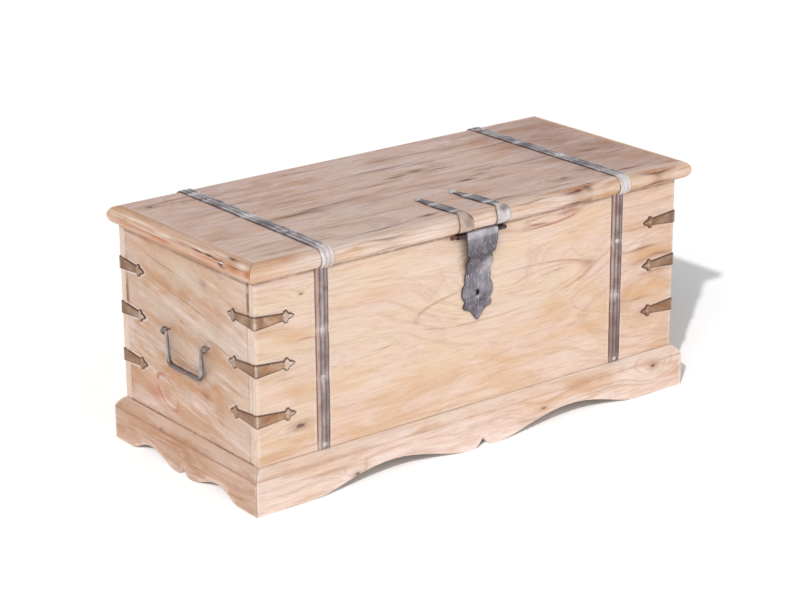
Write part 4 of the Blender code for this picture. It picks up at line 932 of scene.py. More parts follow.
# Ironwork is drawn flat, then bent round the edges that it covers
class Route:  # straight and round lengths in a plane; the outer side is on the right of the way ahead
    def __init__(self, start, heading):
        self.parts = []
        self.length = 0.0
        self.point = Vector(start)
        self.heading = radians(heading)

    @staticmethod
    def outer(heading):
        return Vector((sin(heading), -cos(heading)))

    def straight(self, length):
        self.parts.append((self.length, self.point.copy(), self.heading, 0.0))
        self.point = self.point + Vector((cos(self.heading), sin(self.heading))) * length
        self.length += length
        return self

    def arc(self, radius, turn):
        # A turn above zero bends round what lies on the inner side
        signed = copysign(1.0, turn) * radius
        self.parts.append((self.length, self.point.copy(), self.heading, signed))
        centre = self.point - self.outer(self.heading) * signed
        self.heading += radians(turn)
        self.point = centre + self.outer(self.heading) * signed
        self.length += radius * radians(abs(turn))
        return self

    def at(self, along, height=0.0):
        reached = [part for part in self.parts if along >= part[0]]
        start, point, heading, radius = reached[-1] if reached else self.parts[0]
        ahead = along - start
        if radius == 0:
            return point + Vector((cos(heading), sin(heading))) * ahead + self.outer(heading) * height
        turned = heading + ahead / radius
        return point - self.outer(heading) * radius + self.outer(turned) * (radius + height)


def flatPlate(points, look):
    # A closed outline in XY as a plate with rounded rims, from Z 0 up to its thickness
    curve = bpy.data.curves.new("outline", "CURVE")
    curve.dimensions = "2D"
    curve.fill_mode = "BOTH"
    curve.extrude = look["thickness"] / 2 - look["rim"]
    curve.bevel_depth = look["rim"]
    curve.bevel_resolution = 1
    curve.offset = -look["rim"]
    curve.resolution_u = look["fineness"]
    spline = curve.splines.new("BEZIER")
    spline.use_cyclic_u = True
    spline.bezier_points.add(len(points) - 1)
    for knot, (x, y, kind) in zip(spline.bezier_points, points):
        knot.co = (x, y, 0)
        knot.handle_left_type = knot.handle_right_type = "AUTO" if kind == "round" else "VECTOR"
    item = newItem("outline", curve)
    mesh = evaluated(item)
    bpy.data.objects.remove(item)
    work = bmesh.new()
    work.from_mesh(mesh)
    bpy.data.meshes.remove(mesh)
    bmesh.ops.remove_doubles(work, verts=work.verts, dist=weld * 2)
    bmesh.ops.translate(work, verts=work.verts, vec=(0, 0, look["thickness"] / 2))
    return work


def bentPlate(name, points, look, place, values, material, seed):
    # place(along, across, height) says where a point of the flat plate goes;
    # values(along, across, distance from the outline) adds to its rub, low and warm
    work = flatPlate(points, look)
    for axis in (0, 1):
        cutAcross(work, axis, look["grid"])
    bmesh.ops.triangulate(work, faces=work.faces)
    thickness, dents = look["thickness"], look["dents"]
    border = nearby([vertex.co.xy.to_3d() for vertex in work.verts if 0.2 < vertex.co.z / thickness < 0.8])
    shift = Vector((seed * 3.1, seed * 1.3, seed))
    wear = []
    for vertex in work.verts:
        along, across, height = vertex.co
        flat = Vector((along, across, 0))
        distance = border.find(flat)[2]
        dent = dents * fractal(flat * 85 + shift) + dents * 0.6 * fractal(flat * 230 + shift)
        inward = max(0.0, dent + dents * 0.4) * height / thickness
        patch = fractal(flat * 55 + shift * 2) * 0.5 + 0.5
        rub, low, warm = values(along, across, distance)
        wear.append((0.55 * patch * patch + rub, bell(distance, 0.0011) * look["edge"] + low, warm))
        vertex.co = place(along, across, height - inward)
    return finishMesh(work, name, material, wear)


def sized(edges, length, half):
    return [(length * along, half * across, kind) for along, across, kind in edges]


def mirrored(edge, along=1, across=-1):
    return [(x * along, y * across, kind) for x, y, kind in reversed(edge)]


hasp = {
    "middle": -0.003, "pin": (-0.20022, 0.367407), "knuckle": 0.0054,
    "thickness": 0.0025, "rim": 0.0005, "fineness": 10, "grid": 0.0022, "dents": 0.00028, "edge": 0.85,
    "drop": 0.150, "halfWidth": 0.032,
    "roll": 285,                        # degrees round the pin
    "crank": (0.012, 0.085),            # from and to, down the plate
    "slot": (0.1035, 0.0068, 0.0105),   # down the plate, width, height
    "edges": (
        (0.190, 0.93, "round"), (0.235, 0.89, "round"), (0.262, 0.70, "corner"), (0.300, 0.79, "round"),
        (0.350, 0.85, "round"), (0.400, 0.80, "round"), (0.437, 0.74, "round"), (0.480, 0.80, "round"),
        (0.530, 0.84, "round"), (0.568, 0.79, "corner"), (0.615, 0.95, "round"), (0.670, 1.00, "round"),
        (0.725, 0.97, "round"), (0.780, 0.79, "corner"), (0.812, 0.89, "round"), (0.838, 0.92, "round"),
        (0.862, 0.82, "round"), (0.880, 0.58, "round"), (0.915, 0.37, "round"), (0.960, 0.20, "round"),
        (0.988, 0.11, "round")),
}


def slotCutter():
    drop, width, height = hasp["slot"]
    ring = []
    for step, angle in enumerate(angles(32)):
        x = width / 2 * cos(angle) * (1 + 0.10 * noise.noise(Vector((step * 0.7, 3, 1))))
        z = (height - width) / 2 * copysign(1, sin(angle)) + width / 2 * sin(angle)
        ring.append((hasp["middle"] + x, hasp["pin"][1] - drop + z))
    work = bmesh.new()
    fronts, backs = ([work.verts.new((x, y, z)) for x, z in ring] for y in (-0.200, -0.188))
    work.faces.new(fronts)
    work.faces.new(list(reversed(backs)))
    for number in range(len(ring)):
        after = (number + 1) % len(ring)
        work.faces.new((fronts[after], fronts[number], backs[number], backs[after]))
    return finishMesh(work, "slotCutter", irons["hasp"], angle=boards["crease"])


def makeHasp():
    inner = hasp["knuckle"] - hasp["thickness"]
    half, drop, first = hasp["halfWidth"], hasp["drop"], 270 - hasp["roll"]
    pin = Vector(hasp["pin"])
    rolled = inner * radians(hasp["roll"])
    route = Route(pin + Route.outer(radians(first)) * inner, first).arc(inner, hasp["roll"]).straight(drop)
    rest = -chest["halfDepth"] - chest["seam"] - (pin.x - inner)
    edge = [(-rolled, half, "corner"), (0.006, half, "corner")] + sized(hasp["edges"], drop, half)
    outline = edge + [(drop, 0.0, "round")] + mirrored(edge)

    def place(down, across, height):
        spot = route.at(rolled + down, height)
        return Vector((hasp["middle"] + across, spot.x + rest * smooth(down, *hasp["crank"]), spot.y))

    def values(down, across, distance):
        # A painted highlight on the knuckle's roll; rubbed on the right half and under the slot; painted shade
        # at the neck where the plate bends and round the slot; dark in the crease
        top = bell(down - 0.002, 0.004) * 1.2 + 0.25 * (1 - smooth(down, 0.004, 0.022))
        worn = 0.55 * smooth(across, 0.0, 0.018) * smooth(down, 0.03, 0.05) * (1 - smooth(down, 0.095, 0.115))
        under = 0.9 * bell(down - 0.1105, 0.003) * bell(across, 0.004)
        fold = bell(down - 0.040, 0.005) * 0.55
        crease = bell(down - 0.108 + across * 0.12, 0.0012) * (0.6 if across < -0.003 else 0.0)
        hole = 0.5 * bell(hypot(down - hasp["slot"][0], across), 0.0065)
        return top + worn + under, fold + crease + hole, 0.0

    item = bentPlate("haspPlate", outline, hasp, place, values, irons["hasp"], 4.0)
    cutter = slotCutter()
    cut = item.modifiers.new("slot", "BOOLEAN")
    cut.operation, cut.solver, cut.object = "DIFFERENCE", "EXACT", cutter
    settle(item)
    bpy.data.objects.remove(cutter)
    standFor(item, "hasp_plate", "hasp")


strap = {
    "spacing": 0.076, "reach": 0.104, "halfWidth": 0.0135,
    "thickness": 0.0022, "rim": 0.0005, "fineness": 8, "grid": 0.0025, "dents": 0.00022, "edge": 0.7,
    "wrap": 135,            # degrees round the nose before the tongue
    "pinAngle": 255, "roll": 280,
    "tongueTrim": 0.0025,   # how much narrower the tongue is
    "gap": 0.0004, "nailSeat": 0.0013,
    "lean": {"left": 0.008, "right": 0.013},   # how far the tip lies aside
    "rivets": {"left": (0.008, 0.0435, 0.0915), "right": (0.008, 0.0395, 0.0840)},   # from the tip
    "edges": (
        (0.035, 0.22, "round"), (0.060, 0.47, "round"), (0.095, 0.50, "round"), (0.120, 0.36, "corner"),
        (0.170, 0.40, "round"), (0.270, 0.58, "round"), (0.450, 0.76, "round"), (0.650, 0.80, "round"),
        (0.820, 0.72, "round"), (0.950, 0.60, "round"), (1.030, 0.62, "round"), (1.090, 0.86, "round"),
        (1.130, 1.0, "round")),
}


def leanAt(word, along):
    return strap["lean"][word] * max(0.0, 1.06 - along / strap["reach"]) ** 1.2


def makeStrap(word, side):
    radius = chest["noseRadius"] + chest["seam"]
    reach, half = strap["reach"], strap["halfWidth"]
    middle = side * strap["spacing"] / 2 + hasp["middle"]
    route = Route(frontNose + Vector((reach, radius)), 180).straight(reach)
    route.arc(radius, strap["pinAngle"] - 90).arc(hasp["knuckle"], -strap["roll"])
    wrapEnd = reach + radius * radians(strap["wrap"])
    slope = wrapEnd + strap["thickness"]
    outer, inner = half - strap["tongueTrim"], hasp["halfWidth"] + strap["gap"] - strap["spacing"] / 2
    edge = sized(strap["edges"], reach, half) + [(wrapEnd, half, "corner")]
    tongue = [(slope, outer), (route.length, outer), (route.length, inner), (slope, inner)]
    outline = [(0.0, 0.0, "round")] + edge + [(x, y, "corner") for x, y in tongue] + mirrored(edge)
    outline = [(x, y * side, kind) for x, y, kind in outline]

    def place(along, across, height):
        spot = route.at(along, height)
        return Vector((middle + across - leanAt(word, along), spot.x, spot.y))

    def values(along, across, distance):
        # Painted highlights round the rivets, rosy over the nose; painted shade along the right half of the
        # leaf and where the tongue is tucked in
        nose = smooth(along, reach - 0.012, reach + 0.006)
        leaf = 1 - nose
        rivet = max(bell(along - spot, 0.006) for spot in strap["rivets"][word])
        shaded = smooth(across, 0.0, 0.6 * half) * leaf
        tucked = smooth(along, wrapEnd - 0.002, wrapEnd + 0.001)
        blotch = max(0.0, wobble(along, 3.0 + side + across * 60, 90)) * nose
        rub = 0.25 * nose * (1 - tucked) - 0.45 * leaf + 1.3 * rivet * leaf
        return rub, 0.6 * shaded + 0.9 * tucked + 0.9 * blotch - 0.5 * rivet, nose * 0.85

    title = word.title()
    item = bentPlate(f"haspStrap{title}", outline, strap, place, values, irons[f"strap{title}"], 6.0 + side)
    standFor(item, f"hasp_strap_{word}", "lid")


def skin(work, rows):
    # Faces between neighbouring rings of vertices
    for one, other in zip(rows, rows[1:]):
        for step in range(len(one)):
            after = (step + 1) % len(one)
            work.faces.new((one[step], one[after], other[after], other[step]))


bands.update({
    "columns": 26,        # points across the strip
    "station": 0.0026,    # between its rows of points
    "nailReach": 0.0075, "nailSink": 0.0009,   # how far round a nail, and how deep, the strip is drawn in
    "nailSeat": 0.0020, "nailAside": 0.0008,   # how far its head sits below the reeds, and off the middle
    "frontWrap": 160, "backWrap": 125,         # degrees round the noses
    "frontNails": {"left": (0.269, 0.193, 0.081), "right": (0.288, 0.193, 0.079)},
    "lidNails": {"left": (0.156, 0.111, 0.0, -0.100, -0.189), "right": (0.170, 0.060, -0.045, -0.157, -0.206)},
})


def reededBand(name, length, place, values, material, seed, nails):
    # A strip with three reeds, hand beaten: its edges and grooves wander and it swells at the nails
    columns = bands["columns"]
    stations = max(2, round(length / bands["station"]))
    work = bmesh.new()
    wear, rows = [], []
    for row in range(stations + 1):
        along = length * row / stations
        nail = max(bell(along - spot, bands["nailReach"]) for spot in nails)
        end = min(along, length - along)
        half = bands["width"] / 2 * (1 - 0.10 * bell(end, 0.0022))
        left, right = (side * half * (1 - 0.035 * (wobble(along, seed + more, 26) + 1) - 0.03 * nail)
                       for side, more in ((-1, 0), (1, 5)))
        first = 1 / 3 + 0.035 * wobble(along, seed + 9, 17) - 0.03 * nail
        second = 2 / 3 + 0.035 * wobble(along, seed + 13, 17) + 0.03 * nail
        ring = []
        for column in range(columns + 1):
            share = column / columns
            if share < first:
                local = share / first
            elif share < second:
                local = 1 + (share - first) / (second - first)
            else:
                local = 2 + (share - second) / (1 - second)
            hump = abs(sin(pi * local)) ** 0.75
            centre = 1.0 if 1 < local < 2 else 0.75
            rim = bell(min(share, 1 - share) * bands["width"], 0.0008)
            drop = bands["reed"] * (1 - hump * centre) * (1 - 0.45 * nail) + bands["nailSink"] * nail
            dent = 0.00016 * max(0.0, wobble(along, seed + share * 3, 60) + 0.4)
            height = bands["thickness"] - drop - 0.0005 * rim - dent - 0.0003 * bell(end, 0.0015)
            ring.append(work.verts.new(place(along, left + (right - left) * share, height)))
            # Painted highlights on the crests of the reeds, broken into specks, and brighter round the nails;
            # painted shade in the grooves between the reeds
            speck = wobble(along, seed + column * 1.9, 40) * 0.5 + 0.5
            rub, low, warm = values(along, share)
            rub += 0.9 * hump ** 3 * centre * speck + 0.75 * nail * centre
            wear.append((rub, (1 - hump) ** 1.5 * 1.1 - 0.4 * nail + low, warm))
        for share in (1.0, 0.5, 0.0):
            ring.append(work.verts.new(place(along, left + (right - left) * share, 0.0)))
            wear.append((0.0, 0.4, 0.0))
        rows.append(ring)
    skin(work, rows)
    work.faces.new(rows[0])
    work.faces.new(rows[-1])
    bmesh.ops.triangulate(work, faces=[face for face in work.faces if len(face.verts) > 4])
    return finishMesh(work, name, material, wear)


def makeBands(word, seed):
    low = chest["plinthTop"] + chest["seam"]
    length = chest["bodyTop"] - 0.0015 - low
    radius = chest["noseRadius"] + chest["seam"]
    middle, backWrap = bands[word], bands["backWrap"]
    flat = backNose.x - frontNose.x
    backArc = radius * radians(backWrap)
    route = Route(backNose + Route.outer(radians(180 - backWrap)) * radius, 180 - backWrap)
    route.arc(radius, backWrap).straight(flat).arc(radius, bands["frontWrap"])

    def upright(along, across, height):
        return Vector((middle + across, -chest["halfDepth"] - chest["seam"] - height, low + along))

    def frontValues(along, share):
        # Rosy along the left edge; painted shade along the right one
        dark = 0.75 * max(0.0, (share - 0.84) / 0.16) + 0.35 * max(0.0, (share - 0.60) / 0.40)
        rub = 0.15 * max(0.0, 1 - share / 0.22) - 0.4 * max(0.0, share - 0.6)
        return rub, dark, 1.2 * max(0.0, 1 - share / 0.34)

    spots = [height - low for height in bands["frontNails"][word]]
    title = word.title()
    item = reededBand(f"frontBand{title}", length, upright, frontValues, irons["band"], seed, spots)
    standFor(item, f"front_band_{word}", "chest")

    def over(along, across, height):
        spot = route.at(along, height)
        return Vector((middle + across, spot.x, spot.y))

    def lidValues(along, share):
        nose = smooth(along, backArc + flat - 0.010, backArc + flat + 0.010)
        return 0.6 * nose, -0.45 * nose, 0.8 * nose

    spots = [backArc + backNose.x - y for y in bands["lidNails"][word]]
    item = reededBand(f"lidBand{title}", route.length, over, lidValues, irons["lidBand"], seed + 2, spots)
    standFor(item, f"lid_band_{word}", "lid")


def makeBracket(number, node, outline, xSide, ySide, height):
    arm, bend = brackets["arm"], brackets["bend"]
    corner = Vector((chest["halfLength"] + chest["seam"], chest["halfDepth"] + chest["seam"]))
    quarter = bend * pi / 4
    tilt = brackets["tilt"] * noise.noise(Vector((number * 1.7, 2, 5)))
    pale = 0.75 if xSide < 0 else 0.10

    def place(along, across, raised):
        # From the front or back face round the corner to the end
        if along < -quarter:
            spot = Vector((corner.x + along + quarter, corner.y + raised))
        elif along > quarter:
            spot = Vector((corner.x + raised, corner.y - along + quarter))
        else:
            angle = pi / 4 - along / bend
            spot = corner - Vector((bend, bend)) + Vector((cos(angle), sin(angle))) * (bend + raised)
        return Vector((spot.x * xSide, spot.y * ySide, height + across + tilt * abs(along)))

    def values(along, across, distance):
        # Bright on the fold, dark beside it; the trefoil is pale inside a dark rim
        fold, nearFold = bell(along, 0.0022), bell(along, 0.016)
        beyond = smooth(abs(along), arm * 0.70, arm * 0.76)
        inside = smooth(distance, 0.0008, 0.0022)
        low = 0.30 * nearFold * (1 - fold) + 0.35 * beyond * (1 - inside) - 0.5 * fold
        return fold + pale * beyond * inside, low, 0.4

    item = bentPlate(
        f"cornerBracket{number}", outline, brackets, place, values, irons["brass"], number * 2.3)
    standFor(item, node, "chest")


def makeBrackets():
    arm, half = brackets["arm"], brackets["halfWidth"]
    right = sized(brackets["edges"], arm, half)
    upper = mirrored(right, -1, 1) + [(0.0, half, "corner")] + right
    outline = upper + [(arm, 0.0, "round")] + mirrored(upper) + [(-arm, 0.0, "round")]
    number = 0
    for end, xSide in (("left", -1), ("right", 1)):
        for face, ySide in (("front", -1), ("back", 1)):
            for level, height in brackets["heights"].items():
                number += 1
                node = f"corner_bracket_{face}_{end}_{level}"
                makeBracket(number, node, outline, xSide, ySide, height)


def tube(work, points, radii, sides=20, squash=None, uneven=0.0, seed=0.0):
    # A round bar along points, with its own radius at each of them
    rows = []
    for number, point in enumerate(points):
        before, after = points[max(0, number - 1)], points[min(len(points) - 1, number + 1)]
        way = (after - before).normalized()
        sideways = Vector((1, 0, 0)) if abs(way.x) < 0.9 else Vector((0, 0, 1))
        first = way.cross(sideways).normalized()
        second = way.cross(first)
        flat, tall = squash[number] if squash else (1.0, 1.0)
        ring = []
        for angle in angles(sides):
            bump = noise.noise(Vector((number * 0.21, cos(angle) * 1.3 + seed, sin(angle) * 1.3)))
            beaten = 1 - uneven * max(0.0, bump + 0.3)
            spoke = (first * cos(angle) * flat + second * sin(angle) * tall) * radii[number] * beaten
            ring.append(work.verts.new(point + spoke))
        rows.append(ring)
    skin(work, rows)
    for ring in (rows[0], rows[-1]):
        top = work.verts.new(sum((vertex.co for vertex in ring), Vector()) / sides)
        for step in range(sides):
            work.faces.new((ring[step], ring[(step + 1) % sides], top))


bail = {
    "drift": -0.008,         # how far forward of the middle it hangs
    "eyeHeight": 0.231, "axisHeight": 0.2301, "standoff": 0.0105,
    "halfWidth": 0.0485, "drop": 0.0525, "corner": 0.014, "radius": 0.0043,
    "stubRadius": 0.0022, "stubBend": 0.0045, "stubLength": 0.0090,
    "eyeSpread": 0.0565, "eyeRadius": 0.0052, "wire": 0.0018,
    "melt": 0.00042,         # how finely ring and shank are melted together
    "shankInside": 0.0016, "board": 0.013,   # the panel that the shank goes through
}


def bailRoute():
    # Half of the bail, from the middle of its bar to its stub: y, z and radius
    wide, drop, corner, radius = (bail[name] for name in ("halfWidth", "drop", "corner", "radius"))
    bend, thin = bail["stubBend"], bail["stubRadius"]
    straight, foot = wide - corner, corner - drop
    half = [(straight * step / 10, -drop, radius * (0.93 + 0.07 * step / 10)) for step in range(10)]
    for step in range(13):
        angle = pi / 2 * step / 12
        half.append((straight + corner * sin(angle), foot - corner * cos(angle), radius))
    for step in range(1, 10):
        share = step / 10
        half.append((wide, foot * (1 - share) - bend * share, radius + (thin - radius) * share ** 1.7))
    for step in range(9):
        angle = pi / 2 * step / 8
        half.append((wide + bend * (1 - cos(angle)), bend * (sin(angle) - 1), thin))
    for share, size in ((0.35, 1.0), (0.7, 1.0), (0.93, 1.0), (1.0, 0.7)):
        half.append((wide + bend + bail["stubLength"] * share, 0.0, thin * size))
    return half


def makeEye(word, place, side, y):
    # A ring on a shank through the panel, clenched inside
    work = bmesh.new()
    z, wire = bail["eyeHeight"], bail["wire"]
    face = side * chest["halfLength"]
    rows = []
    for turn in angles(36):
        out = Vector((cos(turn), 0, sin(turn)))
        point = Vector((face + side * bail["standoff"], y, z)) + out * bail["eyeRadius"]
        rows.append([work.verts.new(point + (out * cos(angle) + Vector((0, 1, 0)) * sin(angle)) * wire)
                     for angle in angles(14)])
    skin(work, rows + rows[:1])
    outer = face + side * (bail["standoff"] - bail["eyeRadius"] + 0.0004)
    inside = face - side * (bail["board"] + chest["seam"])
    shank = [Vector((x, y, z)) for x in (outer, inside + side * 0.004, inside)]
    tube(work, shank, [wire] * 3, 14)
    back = inside - side * (bail["shankInside"] - 0.0008)
    steps = range(-4, 5)
    clench = [Vector((back, y + step * 0.002, z)) for step in steps]
    tube(work, clench, [0.0008 + 0.0005 * cos(step * 0.35) for step in steps], 14, [(1.9, 0.62)] * 9)
    item = finishMesh(work, f"eye{word.title()}{place.title()}", irons["handle"], angle=60)
    melt = item.modifiers.new("melt", "REMESH")
    melt.mode, melt.voxel_size, melt.use_smooth_shade = "VOXEL", bail["melt"], True
    mesh = settle(item)
    for title, value in (("rub", 0.35), ("low", 0.3)):
        storeValues(mesh, title, [value] * len(mesh.vertices))
    give(item, irons["handle"])
    standFor(item, f"handle_eye_{word}_{place}", "chest")


def makeHandle(word, side):
    half = bailRoute()
    route = [(-y, z, radius) for y, z, radius in reversed(half[1:])] + half
    x = side * (chest["halfLength"] + bail["standoff"])
    work = bmesh.new()
    points = [Vector((x, bail["drift"] + y, bail["axisHeight"] + z)) for y, z, radius in route]
    tube(work, points, [radius for y, z, radius in route], uneven=0.10, seed=side * 4.0)
    bmesh.ops.recalc_face_normals(work, faces=work.faces)
    # Rubbed in patches above the bar; painted shade on the sides that face along the chest, a painted highlight
    # on the outward side; darker and browner along the bottom bar
    wear = []
    for vertex in work.verts:
        patch = noise.noise(vertex.co * 90) * 0.5 + 0.5
        bar = smooth((bail["axisHeight"] - vertex.co.z) / bail["drop"], 0.72, 0.95)
        outward = max(0.0, vertex.normal.x * side)
        low = 0.35 * smooth(abs(vertex.normal.y), 0.6, 1.0) + 0.55 * bar * (1 - outward * 0.6)
        wear.append((0.9 * patch * (1 - 0.75 * bar) + 0.25 * outward, low, bar * (0.8 + 0.4 * patch)))
    item = finishMesh(work, f"bail{word.title()}", irons["handle"], wear, 60)
    standFor(item, f"handle_{word}", f"handle_{word}")
    for place, way in (("front", -1), ("back", 1)):
        makeEye(word, place, side, bail["drift"] + way * bail["eyeSpread"])


pinShape = {"radius": 0.0023, "outer": 0.0502, "tail": 0.012, "tailHalf": (0.0036, 0.0014)}


def makePin():
    # A round pin whose left end is beaten flat
    y, z = hasp["pin"]
    outer, tail, radius = pinShape["outer"], pinShape["tail"], pinShape["radius"]
    tall, thin = (half / radius for half in pinShape["tailHalf"])
    # Along the pin, then how deep and how high it is there
    stations = [(outer, 0.75, 0.75), (outer - 0.0008, 1.0, 1.0), (0.0, 1.0, 1.0), (-outer + 0.002, 1.0, 1.0)]
    for step in range(1, 12):
        share = step / 11
        grow = smooth(share, 0.0, 0.35)
        high = 1 + (tall * (1 + 0.06 * sin(step * 2.1)) - 1) * grow
        stations.append((-outer - tail * share + 0.001, 1 + (thin - 1) * grow, high))
    stations.append((-outer - tail + 0.0002, thin * 0.6, tall * 0.75))
    work = bmesh.new()
    points = [Vector((hasp["middle"] + x, y, z)) for x, *squash in stations]
    tube(work, points, [radius] * len(stations), squash=[squash for x, *squash in stations])
    wear = [(0.2, 0.1)] * len(work.verts)
    standFor(finishMesh(work, "haspPin", irons["pin"], wear), "hasp_pin", "lid")


sides = {"left": -1, "right": 1}
makeHasp()
for word, side in sides.items():
    makeStrap(word, side)
for word, seed in (("left", 3.0), ("right", 8.0)):
    makeBands(word, seed)
makeBrackets()
for word, side in sides.items():
    makeHandle(word, side)
makePin()
for name, item in nodes.items():
    if "hinge" in name:
        give(item, irons["hinge"])
stage("ironwork ready")


# Nails and rivets: one Geometry Nodes tree puts a domed head on every marked point
def studTree():
    work, given, result = newGroup(
        "studs", {"Geometry": "Points", "Float": "Radius Height Uneven", "Int": "Seed", "Material": "Material"},
        {"Geometry": "Studs"}, "GeometryNodeTree")
    ball = work.flow("GeometryNodeMeshUVSphere", {"Segments": 18, "Rings": 12, "Radius": 1.0}, "Mesh")
    x, y, z = work.split(work.flow("GeometryNodeInputPosition"))
    flat = work.join(x, y, work.most(z, -0.30))
    dome = work.flow("GeometryNodeSetPosition", {"Geometry": ball, "Position": flat})
    dome = work.flow("GeometryNodeSetShadeSmooth", {"Geometry": dome})
    facing = work.flow(
        "GeometryNodeInputNamedAttribute", {"Name": "facing"}, "Attribute", data_type="FLOAT_VECTOR")
    turned = work.flow("FunctionNodeAlignRotationToVector", {"Vector": facing}, axis="Z")
    vary = work.add("FunctionNodeRandomValue", {"Seed": given["Seed"]}, data_type="FLOAT")
    bounds = {"Min": 0.88, "Max": 1.06}
    for socket in vary.inputs:
        if socket.type == "VALUE" and socket.name in bounds:
            socket.default_value = bounds[socket.name]
    amount = Flow(work, next(socket for socket in vary.outputs if socket.type == "VALUE" and socket.enabled))
    size = work.join(given["Radius"], given["Radius"], given["Height"]) * work.join(amount, amount, 1.0)
    heads = work.flow(
        "GeometryNodeInstanceOnPoints",
        {"Points": given["Points"], "Instance": dome, "Rotation": turned, "Scale": size})
    heads = work.flow("GeometryNodeRealizeInstances", {"Geometry": heads})
    here = work.flow("GeometryNodeInputPosition")
    rough = work.flow("ShaderNodeTexNoise", {"Vector": here, "Scale": 420.0, "Detail": 2.0}, "Color")
    push = (rough - (0.5, 0.5, 0.5)) * work.join(given["Uneven"], given["Uneven"], given["Uneven"])
    heads = work.flow("GeometryNodeSetPosition", {"Geometry": heads, "Offset": push})
    heads = work.flow("GeometryNodeSetMaterial", {"Geometry": heads, "Material": given["Material"]})
    work.plug(result["Studs"], heads)
    return work.tree


studs = studTree()
nails = {
    "bandNails": {"Radius": 0.0044, "Height": 0.0024, "Uneven": 0.0006, "Seed": 3},
    "lidBandNails": {"Radius": 0.0044, "Height": 0.0019, "Uneven": 0.0006, "Seed": 5},
    "bracketNails": {"Radius": 0.0030, "Height": 0.0018, "Uneven": 0.0005, "Seed": 8},
    "strapRivets": {"Radius": 0.0040, "Height": 0.0016, "Uneven": 0.0006, "Seed": 11},
    "strapTipRivets": {"Radius": 0.0030, "Height": 0.0016, "Uneven": 0.0005, "Seed": 15},
}


def makeStuds(name, body, places, material):
    # places holds pairs of a point and the way that its head faces
    mesh = bpy.data.meshes.new(name)
    mesh.from_pydata([tuple(place) for place, way in places], [], [])
    layer = mesh.attributes.new("facing", "FLOAT_VECTOR", "POINT")
    layer.data.foreach_set("vector", [number for place, way in places for number in way])
    item = newItem(name, mesh)
    modifier = item.modifiers.new("studs", "NODES")
    modifier.node_group = studs
    wanted = dict(nails[name], Material=material)
    for socket in studs.interface.items_tree:
        if socket.in_out == "INPUT" and socket.name in wanted:
            modifier[socket.identifier] = wanted[socket.name]
    made = settle(item)
    storeValues(made, "rub", [0.75] * len(made.vertices))
    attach(item, body)


def placeNails():
    halfLength, halfDepth = chest["halfLength"], chest["halfDepth"]
    seam, nose = chest["seam"], chest["noseRadius"]
    sunk = bands["thickness"] - bands["nailSeat"]
    up = Vector((0, 0, 1))
    spots = []
    for word, heights in bands["frontNails"].items():
        x = bands[word] + bands["nailAside"]
        spots += [(Vector((x, -halfDepth - seam - sunk, z)), (0, -1, 0)) for z in heights]
    makeStuds("bandNails", "chest", spots, irons["nail"])
    spots = []
    for word, reaches in bands["lidNails"].items():
        for y in reaches:
            if y > frontNose.x:
                spots.append((Vector((bands[word], y, chest["lidTop"] + seam + sunk)), up))
            else:
                angle = acos((frontNose.x - y) / (nose + 0.002))
                way = Vector((0, -cos(angle), sin(angle)))
                spots.append((Vector((bands[word], *frontNose)) + way * (nose + sunk + 0.0003), way))
    makeStuds("lidBandNails", "lid", spots, irons["nail"])
    spots = []
    out = seam + brackets["thickness"] - brackets["nailSeat"]
    head = brackets["arm"] * brackets["head"]
    for xSide in sides.values():
        for ySide in (-1, 1):
            for z in brackets["heights"].values():
                x, y = xSide * (halfLength + out), ySide * (halfDepth + out)
                spots.append((Vector((xSide * (halfLength - head), y, z)), (0, ySide, 0)))
                spots.append((Vector((x, ySide * (halfDepth - head), z)), (xSide, 0, 0)))
    makeStuds("bracketNails", "chest", spots, irons["brass"])
    spots = []
    top = chest["lidTop"] + seam + strap["thickness"] - strap["nailSeat"]
    for word, side in sides.items():
        middle = side * strap["spacing"] / 2 + hasp["middle"]
        spots += [(Vector((middle - leanAt(word, along), frontNose.x + strap["reach"] - along, top)), up)
                  for along in strap["rivets"][word]]
    tips = spots[::3]
    makeStuds("strapRivets", "lid", [spot for spot in spots if spot not in tips], irons["nail"])
    makeStuds("strapTipRivets", "lid", tips, irons["nail"])


placeNails()
stage("nails ready")

# Floor, light and camera
light = {
    "sky": 0.38,   # white sky all round
    # Strength, way it shines, width in degrees
    "key": (1.25, (0.658, 0.524, -0.540), 28),
    "fill": (0.45, (-0.20, 0.90, -0.36), 50),
    "cast": (3.25, (0.658, 0.524, -0.540), 1.5),   # shines on the floor alone
    "floorGlow": 0.08, "floorGrey": 0.80, "floorHalf": 12,   # half its width in metres
}


def seen(work):
    # 1 for what the camera sees, also in a mirror or through glass
    path = work.flows(work.add("ShaderNodeLightPath"))
    return work.most(path["Is Camera Ray"], work.most(path["Is Glossy Ray"], path["Is Transmission Ray"]))


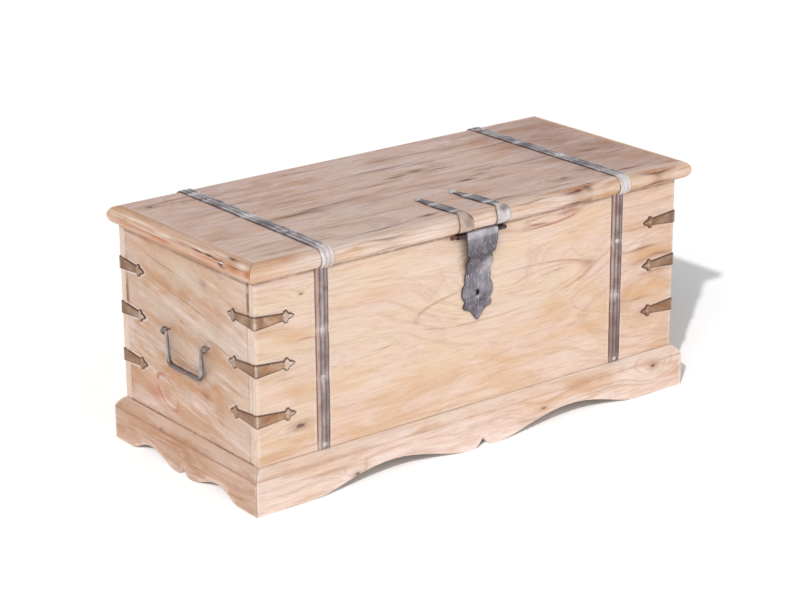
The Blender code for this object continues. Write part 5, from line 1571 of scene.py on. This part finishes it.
half, grey = light["floorHalf"], light["floorGrey"]
floorMesh = bpy.data.meshes.new("floor")
corners = [(-half, -half, 0), (half, -half, 0), (half, half, 0), (-half, half, 0)]
floorMesh.from_pydata(corners, [], [(0, 1, 2, 3)])
floor = newItem("floor", floorMesh)
floorPaint, floorWork, floorShader = newMaterial("paleFloor")
glow = seen(floorWork) * light["floorGlow"]
for name, value in (
        ("Base Color", (grey, grey, grey, 1)), ("Roughness", 0.9), ("Specular IOR Level", 0.0),
        ("Emission Color", (1, 1, 1, 1)), ("Emission Strength", glow)):
    floorWork.plug(floorShader.inputs[name], value)
give(floor, floorPaint)

sky = scene.world = bpy.data.worlds.new("studio")
sky.use_nodes = True
skyWork = Wiring(sky.node_tree)
background = sky.node_tree.nodes["Background"].inputs
background["Color"].default_value = (1, 1, 1, 1)
skyWork.plug(background["Strength"], seen(skyWork) * (1.0 - light["sky"]) + light["sky"])

for name in ("key", "fill", "cast"):
    strength, way, width = light[name]
    data = bpy.data.lights.new(name, "SUN")
    data.energy, data.angle = strength, radians(width)
    sun = newItem(name, data)
    sun.rotation_euler = Vector(way).to_track_quat("-Z", "Y").to_euler()
# The last one, cast, lights the floor and nothing else
onFloor = bpy.data.collections.new("onFloor")
onFloor.objects.link(floor)
sun.light_linking.receiver_collection = onFloor

# Solved from the straight edges in the photograph: metres, degrees and millimetres
view = {
    "place": (-2.2305, -2.8758, 1.4775), "azimuth": 37.663, "pitch": 19.383, "roll": -0.399,
    "lens": 104.199, "sensor": 36, "far": 50,
}
azimuth, pitch, roll = (radians(view[name]) for name in ("azimuth", "pitch", "roll"))
ahead = Vector((sin(azimuth) * cos(pitch), cos(azimuth) * cos(pitch), -sin(pitch)))
right = ahead.cross(Vector((0, 0, 1))).normalized()
up = right.cross(ahead)
right, up = cos(roll) * right + sin(roll) * up, cos(roll) * up - sin(roll) * right
eye = bpy.data.cameras.new("camera")
eye.lens, eye.sensor_width, eye.clip_end = view["lens"], view["sensor"], view["far"]
camera = scene.camera = newItem("camera", eye)
camera.matrix_world = Matrix.Translation(view["place"]) @ Matrix((right, up, -ahead)).transposed().to_4x4()
scene.view_settings.view_transform = "Standard"
stage("floor, light and camera ready")
